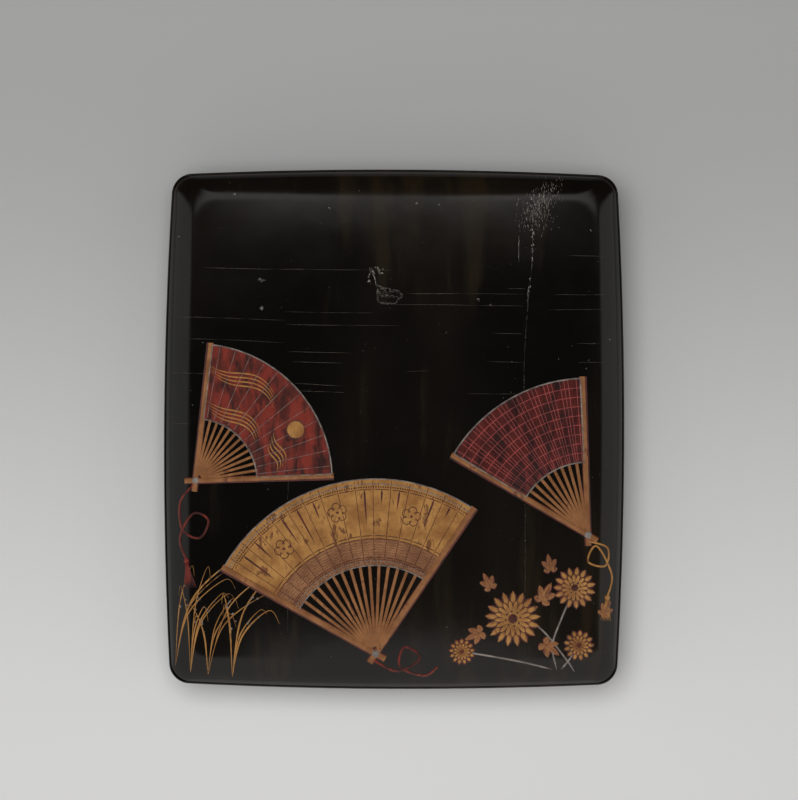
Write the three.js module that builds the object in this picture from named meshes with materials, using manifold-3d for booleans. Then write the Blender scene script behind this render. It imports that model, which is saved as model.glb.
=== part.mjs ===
// A lacquered writing box with a domed, overlapping lid. Inside are an inkstone and a water
// dropper let into a centre board, and two lift-out trays that hold brushes, ink and tools.
// Millimetres, +Z up, origin at the middle of the underside. +Y is the far end of the box.
import * as THREE from "three";
import { mergeVertices } from "three/addons/utils/BufferGeometryUtils.js";
import Module from "manifold-3d";

const wasm = await Module();
wasm.setup();

// Lid
const LID_WIDTH = 210;
const LID_LENGTH = 237;
const SIDE_BOW = 3.6; // how far each long side swells out beyond its corners
const END_BOW = 2.8; // the same for the two ends
const CORNER_RADIUS = 9.5;
const LID_WALL = 4;
const SKIRT_LIFT = 3; // from the table to the lid's lower edge
const LIP_ROUNDING = 0.8;
const ARRIS = 0.5;
const LEDGE_WIDTH = 0.9; // the narrow flat band between the lid's edge and the foot of its dome
const RIM_WIDTH = 1.7; // of the frame round the top boards, whose shoulder it carries on
const REBATE_DEPTH = 2;
const SHOULDER_RADIUS = 13.2;
const SHOULDER_SLOPE = THREE.MathUtils.degToRad(55);
const DOME_RISE = 4.6;
const DOME_POWER = 3; // above 2 the middle of the dome is flatter
const TOP_THICKNESS = 4;
const SEAT_WIDTH = 8.3; // flat underside at the dome's foot, which sits on the body's rim
const HOLLOW_RUN = 2.2; // from that flat to the hollowed ceiling
const PLANK_SEAMS = [-48, 61.5];
const GLUE_GAP = 0.05;

// Body
const FIT_GAP = 0.5; // lid skirt to body wall
const SEAT_GAP = 0.2; // between pieces that rest on one another and lift apart
const BODY_WALL = 4;
const BODY_HEIGHT = 33.8;
const FLOOR_THICKNESS = 4;
const FLOOR_CHAMFER = 0.8;
const RIM_ROUNDING = 0.8;
const NEST_GAP = 0.5; // body wall to the trays and the centre board

// Centre board
const BOARD_THICKNESS = 12;
const RECESS_FLOOR = 2;
const RECESS_GAP = 0.6;

// Inkstone
const STONE_WIDTH = 64;
const STONE_LENGTH = 116;
const STONE_THICKNESS = 17;
const STONE_CORNER = 5;
const STONE_CHAMFER = 1;
const STONE_FRONT_MARGIN = 13; // centre board's front end to the inkstone
const STONE_RIM = 5;
const GRINDING_DEPTH = 2.5;
const GRINDING_LENGTH = 68;
const WELL_SLOPE_LENGTH = 16;
const WELL_DEPTH = 9;

// Water dropper, in the outline of a five-petalled flower
const DROPPER_RADIUS = 20;
const PETAL_DEPTH = 1.8;
const PETALS = 5;
const DROPPER_HEIGHT = 16;
const DROPPER_WALL = 1.4;
const COVER_RISE = 2.2;
const WATER_HOLE_RADIUS = 1.2;
const SPOUT_OFFSET = 13;
const DROPPER_REAR_MARGIN = 21; // centre board's far end to the dropper

// Trays
const TRAY_WIDTH = 49.9; // across the middle, where the side wall bows out furthest
const TRAY_LIFT = 10; // from the box floor to the underside of a tray
const TRAY_HEIGHT = 18;
const TRAY_WALL = 2.4;
const TRAY_FLOOR = 2;
const TRAY_SIDE_GAP = 0.6; // tray to centre board
const THUMB_NOTCH_WIDTH = 30;
const THUMB_NOTCH_DEPTH = 9;
const TRAY_REST_DEPTH = 6; // the ledges on the end walls that the trays stand on
const TRAY_REST_LENGTH = 30;
const CONTENT_GAP = 0.1;
const CONTENT_END_GAP = 3;

// Brushes: handle, tuft and cap
const LARGE_BRUSH = {
  name: "brush_large",
  handleRadius: 4.5,
  handleLength: 126,
  tuftRadius: 4.1,
  tuftLength: 30,
  socketRadius: 3.4,
  socketDepth: 10,
  capOverlap: 12,
};
const SMALL_BRUSH = {
  name: "brush_small",
  handleRadius: 3.5,
  handleLength: 118,
  tuftRadius: 3.2,
  tuftLength: 24,
  socketRadius: 2.6,
  socketDepth: 8,
  capOverlap: 10,
};
const CAP_GAP = 0.25;
const CAP_WALL = 1.3;
const CAP_END = 3;
const CAP_TIP_ROOM = 1;
const NODE_RING = 0.35; // how far a bamboo joint stands out
const NODE_RING_LENGTH = 2.4;
const BRUSH_AXIS_HEIGHT = 7.5; // above the tray floor
const BRUSH_SPACING = 14;
const BRUSH_EDGE_MARGIN = 9; // tray's outer wall, at its ends, to the large brush's axis
const BRUSH_REST_THICKNESS = 5;
const BRUSH_REST_HEIGHT = 6.5;
const BRUSH_REST_MARGIN = 2;
const BRUSH_REST_GAP = 0.3;
const FRONT_REST_AT = 32; // along the brush from the end of its handle
const REAR_REST_AT = 134;

// Ink stick
const INK_WIDTH = 17;
const INK_LENGTH = 72;
const INK_THICKNESS = 8.5;
const INK_CORNER = 1.6;
const INK_EDGE = 0.8;
const INK_PANEL_MARGIN = 2.5;
const INK_PANEL_DEPTH = 0.5;
const INK_WORN_SLOPE = THREE.MathUtils.degToRad(14);
const INK_SIDE_MARGIN = 3;

// Paper knife
const KNIFE_WIDTH = 12;
const KNIFE_THICKNESS = 8;
const KNIFE_HANDLE_LENGTH = 74;
const BLADE_LENGTH = 56;
const BLADE_WIDTH = 8.6;
const BLADE_BACK = 1.8;
const BLADE_EDGE = 0.3;
const BLADE_TIP_RUN = 9;
const TANG_LENGTH = 14;
const TANG_WIDTH = 5.4;
const TANG_GAP = 0.2;
const SHEATH_END = 4;
const SHEATH_SLOT_GAP = 0.5;
const KNIFE_SIDE_MARGIN = 6;

// Paper pricker
const PRICKER_LENGTH = 62;
const PRICKER_RADIUS = 4;
const PRICKER_WAIST = 3;
const FERRULE_LENGTH = 5;
const FERRULE_WALL = 0.9;
const NEEDLE_RADIUS = 1.1;
const NEEDLE_LENGTH = 44;
const NEEDLE_TANG = 12;
const NEEDLE_GAP = 0.15;
const PRICKER_INK_GAP = 9;

// Facets
const SIDE_STEPS = 6;
const CORNER_STEPS = 6;
const SHOULDER_STEPS = 4;
const DOME_RINGS = 4;
const ROUND_STEPS = 24;
const HOLE_STEPS = 12;
const LEAST_CORNER = 0.4;
const CUT = 1; // how far a cutting shape runs past the face it opens

// Derived levels and outlines
const SEAT_Z = BODY_HEIGHT + SEAT_GAP;
const LEDGE_Z = SEAT_Z + REBATE_DEPTH;
const BODY_INSET = LID_WALL + FIT_GAP;
const CAVITY_INSET = BODY_INSET + BODY_WALL;
const NEST_INSET = CAVITY_INSET + NEST_GAP;
const TRAY_Z = FLOOR_THICKNESS + TRAY_LIFT + SEAT_GAP;
const TRAY_FLOOR_Z = TRAY_Z + TRAY_FLOOR;
const TRAY_TOP = TRAY_Z + TRAY_HEIGHT;
const TRAY_INNER_X = LID_WIDTH / 2 - NEST_INSET - TRAY_WIDTH;
const BOARD_WIDTH = 2 * (TRAY_INNER_X - TRAY_SIDE_GAP);
const BOARD_Z = FLOOR_THICKNESS + SEAT_GAP;
const BOARD_TOP = BOARD_Z + BOARD_THICKNESS;
const RECESS_Z = BOARD_Z + RECESS_FLOOR;

const lacquer = new THREE.MeshStandardMaterial({ color: 0x15110e, roughness: 0.22 });
const innerLacquer = new THREE.MeshStandardMaterial({ color: 0x3a2413, roughness: 0.3 });
const slate = new THREE.MeshStandardMaterial({ color: 0x2b2c2f, roughness: 0.75 });
const gildedCopper = new THREE.MeshStandardMaterial({
  color: 0xb48a3c,
  roughness: 0.35,
  metalness: 1,
});
const bamboo = new THREE.MeshStandardMaterial({ color: 0xb08a4e, roughness: 0.45 });
const hair = new THREE.MeshStandardMaterial({ color: 0xd9cfba, roughness: 0.8 });
const ink = new THREE.MeshStandardMaterial({ color: 0x121214, roughness: 0.55 });
const steel = new THREE.MeshStandardMaterial({
  color: 0x8d8f92,
  roughness: 0.3,
  metalness: 1,
});

// Solids

function solidOf(geometry) {
  const bare = geometry.index ? geometry.toNonIndexed() : geometry.clone();
  bare.deleteAttribute("normal");
  bare.deleteAttribute("uv");
  const merged = mergeVertices(bare, 1e-4);
  return new wasm.Manifold(
    new wasm.Mesh({
      numProp: 3,
      vertProperties: merged.getAttribute("position").array,
      triVerts: new Uint32Array(merged.index.array),
    }),
  );
}

function geometryOf(solid) {
  const mesh = solid.getMesh();
  const geometry = new THREE.BufferGeometry();
  geometry.setAttribute("position", new THREE.BufferAttribute(mesh.vertProperties, 3));
  geometry.setIndex(new THREE.BufferAttribute(mesh.triVerts, 1));
  const flat = geometry.toNonIndexed();
  flat.computeVertexNormals();
  return flat;
}

function cut(geometry, ...cutters) {
  const solid = cutters.reduce((rest, tool) => rest.subtract(solidOf(tool)), solidOf(geometry));
  return geometryOf(solid);
}

function common(a, b) {
  return geometryOf(solidOf(a).intersect(solidOf(b)));
}

function block(low, high) {
  const size = high.map((value, i) => value - low[i]);
  const middle = high.map((value, i) => (value + low[i]) / 2);
  return new THREE.BoxGeometry(...size).translate(...middle);
}

function extrude(shape, z0, z1, bevel = 0) {
  const geometry = new THREE.ExtrudeGeometry(shape, {
    depth: z1 - z0 - 2 * bevel,
    bevelEnabled: bevel > 0,
    bevelThickness: bevel,
    bevelSize: bevel,
    bevelOffset: -bevel,
    bevelSegments: 1,
    curveSegments: CORNER_STEPS,
  });
  return geometry.translate(0, 0, z0 + bevel);
}

// A closed surface over rings with equal counts of points. Each ring is listed anticlockwise
// seen from above. Rings run from the top centre outwards, down, and in again below, or all
// the way round a cross-section when it closes on itself.
function loftRings(rings, closesOnItself) {
  const count = rings[0].length;
  const positions = rings.flat().flatMap((p) => [p.x, p.y, p.z]);
  const faces = [];
  const strips = closesOnItself ? rings.length : rings.length - 1;
  for (let r = 0; r < strips; r++) {
    const inner = r * count;
    const outer = ((r + 1) % rings.length) * count;
    for (let i = 0; i < count; i++) {
      const j = (i + 1) % count;
      faces.push(inner + i, outer + i, outer + j, inner + i, outer + j, inner + j);
    }
  }
  if (!closesOnItself) {
    const ends = [
      [0, false],
      [rings.length - 1, true],
    ];
    for (const [r, below] of ends) {
      const middle = positions.length / 3;
      const centre = new THREE.Vector3();
      rings[r].forEach((p) => centre.addScaledVector(p, 1 / count));
      positions.push(centre.x, centre.y, centre.z);
      for (let i = 0; i < count; i++) {
        const a = r * count + i;
        const b = r * count + ((i + 1) % count);
        faces.push(middle, ...(below ? [b, a] : [a, b]));
      }
    }
  }
  const geometry = new THREE.BufferGeometry();
  geometry.setAttribute("position", new THREE.Float32BufferAttribute(positions, 3));
  geometry.setIndex(faces);
  return geometry;
}

function turned(profile, steps = ROUND_STEPS) {
  const points = profile.map(([radius, along]) => new THREE.Vector2(radius, along));
  return new THREE.LatheGeometry(points, steps);
}

// The box's bowed outline

function arcRadius(halfChord, bow) {
  return (halfChord * halfChord + bow * bow) / (2 * bow);
}

const SIDE_ARC = arcRadius(LID_LENGTH / 2, SIDE_BOW);
const END_ARC = arcRadius(LID_WIDTH / 2, END_BOW);
const SIDE_CENTRE = LID_WIDTH / 2 - SIDE_ARC; // on the X axis
const END_CENTRE = LID_LENGTH / 2 - END_ARC; // on the Y axis

function halfWidthAt(y, inset) {
  return SIDE_CENTRE + Math.sqrt((SIDE_ARC - inset) ** 2 - y * y);
}

function halfLengthAt(x, inset) {
  return END_CENTRE + Math.sqrt((END_ARC - inset) ** 2 - x * x);
}

// Centre of the corner's arc, which touches a side's arc and an end's arc from within.
function cornerCentre(inset, corner) {
  const sideReach = SIDE_ARC - inset - corner;
  const endReach = END_ARC - inset - corner;
  const apart = Math.hypot(SIDE_CENTRE, END_CENTRE);
  const along = (sideReach ** 2 - endReach ** 2 + apart ** 2) / (2 * apart);
  const across = Math.sqrt(sideReach ** 2 - along ** 2);
  const ux = -SIDE_CENTRE / apart;
  const uy = END_CENTRE / apart;
  return new THREE.Vector2(
    SIDE_CENTRE + along * ux - across * uy,
    along * uy + across * ux,
  );
}

function arcPoints(centre, radius, from, to, steps) {
  const points = [];
  for (let i = 0; i < steps; i++) {
    const angle = THREE.MathUtils.lerp(from, to, i / steps);
    points.push(
      new THREE.Vector2(
        centre.x + radius * Math.cos(angle),
        centre.y + radius * Math.sin(angle),
      ),
    );
  }
  return points;
}

function barrelPoints(inset, corner = Math.max(CORNER_RADIUS - inset, LEAST_CORNER)) {
  const knuckle = cornerCentre(inset, corner);
  const sideEnd = Math.atan2(knuckle.y, knuckle.x - SIDE_CENTRE);
  const endStart = Math.atan2(knuckle.y - END_CENTRE, knuckle.x);
  const sideMiddle = new THREE.Vector2(SIDE_CENTRE, 0);
  const endMiddle = new THREE.Vector2(0, END_CENTRE);
  const quarter = [
    ...arcPoints(sideMiddle, SIDE_ARC - inset, 0, sideEnd, SIDE_STEPS),
    ...arcPoints(knuckle, corner, sideEnd, endStart, CORNER_STEPS),
    ...arcPoints(endMiddle, END_ARC - inset, endStart, Math.PI / 2, SIDE_STEPS),
  ];
  const farMiddle = new THREE.Vector2(0, LID_LENGTH / 2 - inset);
  const mirrored = [farMiddle, ...quarter.slice(1).reverse()].map(
    (p) => new THREE.Vector2(-p.x, p.y),
  );
  const half = [...quarter, ...mirrored];
  return [...half, ...half.map((p) => new THREE.Vector2(-p.x, -p.y))];
}

function levelRing(points, z) {
  return points.map((p) => new THREE.Vector3(p.x, p.y, z));
}

// A frame with one cross-section all the way round. The section's points are [inset, z].
function sweptFrame(section) {
  const rings = section.map(([inset, z]) => levelRing(barrelPoints(inset), z));
  return loftRings(rings, true);
}

function barrelPrism(inset, z0, z1) {
  return extrude(new THREE.Shape(barrelPoints(inset)), z0, z1);
}

// The part of the bowed plan between two lines x = x0 and x = x1.
function bay(inset, x0, x1, z0, z1) {
  const slab = block([x0, -LID_LENGTH, z0], [x1, LID_LENGTH, z1]);
  return common(barrelPrism(inset, z0, z1), slab);
}

function roundedRectangle(width, length, radius) {
  const x = width / 2;
  const y = length / 2;
  const shape = new THREE.Shape();
  shape.moveTo(x, y - radius);
  shape.absarc(x - radius, y - radius, radius, 0, Math.PI / 2);
  shape.absarc(radius - x, y - radius, radius, Math.PI / 2, Math.PI);
  shape.absarc(radius - x, radius - y, radius, Math.PI, 1.5 * Math.PI);
  shape.absarc(x - radius, radius - y, radius, 1.5 * Math.PI, 2 * Math.PI);
  return shape;
}

// Lid

function shoulderRise(distance) {
  const run = SHOULDER_RADIUS * Math.sin(SHOULDER_SLOPE);
  const left = run - Math.min(distance, run);
  return Math.sqrt(SHOULDER_RADIUS ** 2 - left ** 2) - SHOULDER_RADIUS * Math.cos(SHOULDER_SLOPE);
}

function distanceInsideFoot(x, y) {
  const corner = CORNER_RADIUS - LEDGE_WIDTH;
  const fromSide = halfWidthAt(y, LEDGE_WIDTH) - Math.abs(x);
  const fromEnd = halfLengthAt(x, LEDGE_WIDTH) - Math.abs(y);
  const apart = fromSide - fromEnd;
  if (Math.abs(apart) >= corner) return Math.min(fromSide, fromEnd);
  // Every level line keeps the corner radius of the foot, so the dome's hips are soft.
  return (fromSide + fromEnd) / 2 - corner + Math.sqrt(2 * corner ** 2 - apart ** 2) / 2;
}

function domeHeight(x, y) {
  const u = x / halfWidthAt(y, LEDGE_WIDTH);
  const v = y / halfLengthAt(x, LEDGE_WIDTH);
  const swell = DOME_RISE * (1 - Math.abs(u) ** DOME_POWER) * (1 - Math.abs(v) ** DOME_POWER);
  return LEDGE_Z + shoulderRise(distanceInsideFoot(x, y)) + swell;
}

function lidFrame() {
  return sweptFrame([
    [LIP_ROUNDING, SKIRT_LIFT],
    [0, SKIRT_LIFT + LIP_ROUNDING],
    [0, LEDGE_Z - ARRIS],
    [ARRIS * 0.3, LEDGE_Z - ARRIS * 0.3],
    [ARRIS, LEDGE_Z],
    [LEDGE_WIDTH, LEDGE_Z],
    [RIM_WIDTH, LEDGE_Z + shoulderRise(RIM_WIDTH - LEDGE_WIDTH)],
    [RIM_WIDTH, SEAT_Z],
    [LID_WALL, SEAT_Z],
    [LID_WALL, SKIRT_LIFT + LIP_ROUNDING],
    [LID_WALL - LIP_ROUNDING, SKIRT_LIFT],
  ].reverse());
}

// The domed top board, hollowed below, before it is parted into planks.
function lidTop() {
  const edgeInset = RIM_WIDTH + GLUE_GAP;
  const shoulderEnd = LEDGE_WIDTH + SHOULDER_RADIUS * Math.sin(SHOULDER_SLOPE);
  const shoulder = [];
  for (let i = SHOULDER_STEPS; i >= 0; i--) {
    const inset = THREE.MathUtils.lerp(edgeInset, shoulderEnd, i / SHOULDER_STEPS);
    shoulder.push(barrelPoints(inset));
  }
  const innermost = barrelPoints(edgeInset + SEAT_WIDTH + HOLLOW_RUN);
  const scaled = (points, factor) => points.map((p) => p.clone().multiplyScalar(factor));
  const onDome = (points, drop) =>
    points.map((p) => new THREE.Vector3(p.x, p.y, domeHeight(p.x, p.y) - drop));
  const rings = [];
  for (let i = 1; i < DOME_RINGS; i++) {
    rings.push(onDome(scaled(shoulder[0], i / DOME_RINGS), 0));
  }
  shoulder.forEach((points) => rings.push(onDome(points, 0)));
  rings.push(levelRing(barrelPoints(edgeInset), SEAT_Z));
  rings.push(levelRing(barrelPoints(edgeInset + SEAT_WIDTH), SEAT_Z));
  for (let i = DOME_RINGS; i >= 1; i--) {
    rings.push(onDome(scaled(innermost, i / DOME_RINGS), TOP_THICKNESS));
  }
  return loftRings(rings, false);
}

function lidPlanks() {
  const board = lidTop();
  const names = ["left", "middle", "right"];
  const edges = [-LID_WIDTH, ...PLANK_SEAMS, LID_WIDTH];
  return names.map((name, i) => {
    const low = [edges[i] + GLUE_GAP, -LID_LENGTH, 0];
    const high = [edges[i + 1] - GLUE_GAP, LID_LENGTH, 2 * LEDGE_Z];
    return piece(`lid_plank_${name}`, common(board, block(low, high)), lacquer);
  });
}

// Body

function bodyFrame() {
  return sweptFrame([
    [BODY_INSET, FLOOR_THICKNESS],
    [BODY_INSET, BODY_HEIGHT - RIM_ROUNDING],
    [BODY_INSET + RIM_ROUNDING, BODY_HEIGHT],
    [CAVITY_INSET - RIM_ROUNDING, BODY_HEIGHT],
    [CAVITY_INSET, BODY_HEIGHT - RIM_ROUNDING],
    [CAVITY_INSET, FLOOR_THICKNESS],
  ].reverse());
}

function bodyFloor() {
  const ring = (inset, z) => levelRing(barrelPoints(inset), z);
  return loftRings(
    [
      ring(BODY_INSET, FLOOR_THICKNESS),
      ring(BODY_INSET, FLOOR_CHAMFER),
      ring(BODY_INSET + FLOOR_CHAMFER, 0),
    ],
    false,
  );
}

// A ledge against an end wall, curved with it, under one end of a tray.
function trayRest(side, end) {
  const middle = (TRAY_INNER_X + halfWidthAt(0, NEST_INSET)) / 2;
  const x0 = side * middle - TRAY_REST_LENGTH / 2;
  const x1 = side * middle + TRAY_REST_LENGTH / 2;
  const top = FLOOR_THICKNESS + TRAY_LIFT;
  const outer = CAVITY_INSET + GLUE_GAP;
  const strip = bay(outer, x0, x1, FLOOR_THICKNESS, top);
  const kept = cut(
    strip,
    barrelPrism(outer + TRAY_REST_DEPTH, FLOOR_THICKNESS - CUT, top + CUT),
  );
  const half = block(
    [-LID_WIDTH, end > 0 ? 0 : -LID_LENGTH, 0],
    [LID_WIDTH, end > 0 ? LID_LENGTH : 0, 2 * top],
  );
  return common(kept, half);
}

// Centre board with its inkstone and water dropper

const STONE_Y = -halfLengthAt(0, NEST_INSET) + STONE_FRONT_MARGIN + STONE_LENGTH / 2;
const DROPPER_Y = halfLengthAt(0, NEST_INSET) - DROPPER_REAR_MARGIN - DROPPER_RADIUS;

function flowerShape(radius) {
  const points = [];
  const steps = PETALS * HOLE_STEPS;
  for (let i = 0; i < steps; i++) {
    const angle = (2 * Math.PI * i) / steps;
    const lobe = Math.abs(Math.cos((PETALS * (angle - Math.PI / 2)) / 2));
    const reach = radius - PETAL_DEPTH * (1 - Math.sqrt(lobe));
    points.push(new THREE.Vector2(reach * Math.cos(angle), reach * Math.sin(angle)));
  }
  return new THREE.Shape(points);
}

function centreBoard() {
  const board = bay(NEST_INSET, -BOARD_WIDTH / 2, BOARD_WIDTH / 2, BOARD_Z, BOARD_TOP);
  const stoneRecess = extrude(
    roundedRectangle(
      STONE_WIDTH + 2 * RECESS_GAP,
      STONE_LENGTH + 2 * RECESS_GAP,
      STONE_CORNER + RECESS_GAP,
    ),
    RECESS_Z,
    BOARD_TOP + CUT,
  ).translate(0, STONE_Y, 0);
  const dropperRecess = extrude(
    flowerShape(DROPPER_RADIUS + RECESS_GAP),
    RECESS_Z,
    BOARD_TOP + CUT,
  ).translate(0, DROPPER_Y, 0);
  return cut(board, stoneRecess, dropperRecess);
}

// The inkstone's level grinding face runs down a slope into the well at its far end.
function inkstone() {
  const blank = extrude(
    roundedRectangle(STONE_WIDTH, STONE_LENGTH, STONE_CORNER),
    0,
    STONE_THICKNESS,
    STONE_CHAMFER,
  );
  const hollowWidth = STONE_WIDTH - 2 * STONE_RIM;
  const hollowLength = STONE_LENGTH - 2 * STONE_RIM;
  const plan = extrude(
    roundedRectangle(hollowWidth, hollowLength, STONE_CORNER),
    STONE_THICKNESS - WELL_DEPTH - CUT,
    STONE_THICKNESS + CUT,
  );
  const front = -hollowLength / 2 - CUT;
  const brow = -hollowLength / 2 + GRINDING_LENGTH;
  const foot = brow + WELL_SLOPE_LENGTH;
  const side = new THREE.Shape();
  side.moveTo(front, STONE_THICKNESS + CUT);
  side.lineTo(front, STONE_THICKNESS - GRINDING_DEPTH);
  side.lineTo(brow, STONE_THICKNESS - GRINDING_DEPTH);
  side.bezierCurveTo(
    brow + WELL_SLOPE_LENGTH / 2,
    STONE_THICKNESS - GRINDING_DEPTH,
    foot - WELL_SLOPE_LENGTH / 3,
    STONE_THICKNESS - WELL_DEPTH,
    foot,
    STONE_THICKNESS - WELL_DEPTH,
  );
  side.lineTo(-front, STONE_THICKNESS - WELL_DEPTH);
  side.lineTo(-front, STONE_THICKNESS + CUT);
  // The side view is drawn in Y and Z, then turned so that it is extruded along X.
  const sweep = extrude(side, -STONE_WIDTH / 2, STONE_WIDTH / 2)
    .rotateX(Math.PI / 2)
    .rotateZ(Math.PI / 2);
  return cut(blank, common(plan, sweep));
}

function dropperVessel() {
  const top = DROPPER_HEIGHT - DROPPER_WALL;
  return cut(
    extrude(flowerShape(DROPPER_RADIUS), 0, top),
    extrude(flowerShape(DROPPER_RADIUS - DROPPER_WALL), DROPPER_WALL, top + CUT),
  );
}

function dropperCover() {
  const base = DROPPER_HEIGHT - DROPPER_WALL;
  const outline = flowerShape(DROPPER_RADIUS).getPoints();
  const crown = (factor) => COVER_RISE * (1 - factor * factor);
  const ring = (factor, z) =>
    outline.map((p) => new THREE.Vector3(p.x * factor, p.y * factor, z));
  const rings = [];
  for (let i = 1; i <= DOME_RINGS; i++) {
    const factor = i / DOME_RINGS;
    rings.push(ring(factor, base + DROPPER_WALL + crown(factor)));
  }
  for (let i = DOME_RINGS; i >= 1; i--) {
    const factor = i / DOME_RINGS;
    rings.push(ring(factor, base + crown(factor)));
  }
  const hole = (y) =>
    new THREE.CylinderGeometry(
      WATER_HOLE_RADIUS,
      WATER_HOLE_RADIUS,
      DROPPER_HEIGHT,
      HOLE_STEPS,
    )
      .rotateX(Math.PI / 2)
      .translate(0, y, DROPPER_HEIGHT);
  return cut(loftRings(rings, false), hole(0), hole(-SPOUT_OFFSET));
}

// Trays

function thumbNotch(side) {
  const oval = new THREE.Shape();
  oval.absellipse(0, 0, THUMB_NOTCH_WIDTH / 2, THUMB_NOTCH_DEPTH, 0, 2 * Math.PI);
  return extrude(oval, -TRAY_WALL - CUT, TRAY_WALL + CUT)
    .rotateX(Math.PI / 2)
    .rotateZ(Math.PI / 2)
    .translate(side * (TRAY_INNER_X + TRAY_WALL / 2), 0, TRAY_TOP);
}

function trayBay(side, shrink, z0, z1) {
  const near = side * (TRAY_INNER_X + shrink);
  const far = side * LID_WIDTH;
  return bay(NEST_INSET + shrink, Math.min(near, far), Math.max(near, far), z0, z1);
}

function trayFrame(side) {
  return cut(
    trayBay(side, 0, TRAY_FLOOR_Z, TRAY_TOP),
    trayBay(side, TRAY_WALL, TRAY_FLOOR_Z - CUT, TRAY_TOP + CUT),
    thumbNotch(side),
  );
}

// Where the straight contents of a tray start, and how far out the tray's outer wall lies there.
const CONTENT_START = -halfLengthAt(LID_WIDTH / 2, NEST_INSET + TRAY_WALL) + CONTENT_END_GAP;
const TRAY_OUTER_X = halfWidthAt(CONTENT_START, NEST_INSET + TRAY_WALL);
const BRUSH_Z = TRAY_FLOOR_Z + BRUSH_AXIS_HEIGHT;
const BRUSHES = [LARGE_BRUSH, SMALL_BRUSH].map((brush, i) => ({
  ...brush,
  x: -TRAY_OUTER_X + BRUSH_EDGE_MARGIN + i * BRUSH_SPACING,
}));

function capRadius(brush) {
  return brush.handleRadius + CAP_GAP + CAP_WALL;
}

// A low bar across the tray with a round notch for each brush.
function brushRest(at, radiusOf) {
  const [large, small] = BRUSHES;
  const left = large.x - capRadius(large) - BRUSH_REST_MARGIN;
  const right = small.x + capRadius(small) + BRUSH_REST_MARGIN;
  const y = CONTENT_START + at;
  const bar = block(
    [left, y - BRUSH_REST_THICKNESS / 2, TRAY_FLOOR_Z],
    [right, y + BRUSH_REST_THICKNESS / 2, TRAY_FLOOR_Z + BRUSH_REST_HEIGHT],
  );
  const notches = BRUSHES.map((brush) => {
    const radius = radiusOf(brush) + BRUSH_REST_GAP;
    const length = BRUSH_REST_THICKNESS + 2 * CUT;
    return new THREE.CylinderGeometry(radius, radius, length, ROUND_STEPS).translate(
      brush.x,
      y,
      BRUSH_Z,
    );
  });
  return cut(bar, ...notches);
}

// Brushes, lying along +Y with the tuft at the far end

function brushHandle(brush) {
  const { handleRadius: radius, handleLength: length, socketRadius, socketDepth } = brush;
  const joint = length * 0.38;
  return turned([
    [0, 0],
    [radius * 0.8, 0],
    [radius * 0.94, 1],
    [radius * 0.94, joint - NODE_RING_LENGTH],
    [radius + NODE_RING, joint - NODE_RING_LENGTH / 3],
    [radius + NODE_RING, joint],
    [radius, joint + NODE_RING_LENGTH],
    [radius, length],
    [socketRadius + CAP_GAP, length],
    [socketRadius + CAP_GAP, length - socketDepth],
    [0, length - socketDepth],
  ]);
}

function brushTuft(brush) {
  const { tuftRadius: radius, tuftLength: length, socketRadius, socketDepth } = brush;
  const root = CAP_GAP - socketDepth;
  return turned([
    [0, root],
    [socketRadius, root],
    [socketRadius, 0.2],
    [radius, length * 0.12],
    [radius, length * 0.3],
    [radius * 0.86, length * 0.55],
    [radius * 0.55, length * 0.78],
    [radius * 0.2, length * 0.94],
    [0, length],
  ]);
}

function capLength(brush) {
  return brush.capOverlap + brush.tuftLength + CAP_TIP_ROOM + CAP_END;
}

function brushCap(brush) {
  const inner = brush.handleRadius + CAP_GAP;
  const outer = capRadius(brush);
  const length = capLength(brush);
  return turned([
    [0, length - CAP_END],
    [inner, length - CAP_END],
    [inner, 0],
    [outer, 0],
    [outer, length - CAP_END - NODE_RING_LENGTH],
    [outer + NODE_RING, length - CAP_END],
    [outer, length - 0.6],
    [outer * 0.9, length],
    [0, length],
  ]);
}

// Ink stick, with a sunk panel on its face and one end worn down by grinding

function inkStick() {
  const blank = extrude(
    roundedRectangle(INK_WIDTH, INK_LENGTH, INK_CORNER),
    0,
    INK_THICKNESS,
    INK_EDGE,
  );
  const panel = extrude(
    roundedRectangle(
      INK_WIDTH - 2 * INK_PANEL_MARGIN,
      INK_LENGTH - 4 * INK_PANEL_MARGIN,
      INK_PANEL_MARGIN,
    ),
    INK_THICKNESS - INK_PANEL_DEPTH,
    INK_THICKNESS + CUT,
  );
  const worn = block([-INK_WIDTH, 0, -INK_THICKNESS], [INK_WIDTH, INK_WIDTH, 2 * INK_THICKNESS])
    .rotateX(INK_WORN_SLOPE)
    .translate(0, INK_LENGTH / 2 - INK_EDGE, 0);
  return cut(blank, panel, worn);
}

// Paper knife: handle, blade and sheath share one oval section

function knifeSection() {
  const corner = KNIFE_THICKNESS / 2 - LEAST_CORNER;
  return roundedRectangle(KNIFE_WIDTH, KNIFE_THICKNESS, corner);
}

// Extruded up and then laid down, so that the section runs from y0 to y1.
function alongY(section, y0, y1, bevel = 0) {
  return extrude(section, y0, y1, bevel).rotateX(-Math.PI / 2);
}

function slot(width, thickness, y0, y1) {
  return block([-width / 2, y0, -thickness / 2], [width / 2, y1, thickness / 2]);
}

function knifeHandle() {
  return cut(
    alongY(knifeSection(), 0, KNIFE_HANDLE_LENGTH, LEAST_CORNER),
    slot(
      TANG_WIDTH + 2 * TANG_GAP,
      BLADE_BACK + 2 * TANG_GAP,
      KNIFE_HANDLE_LENGTH - TANG_LENGTH - TANG_GAP,
      KNIFE_HANDLE_LENGTH + CUT,
    ),
  );
}

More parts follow.
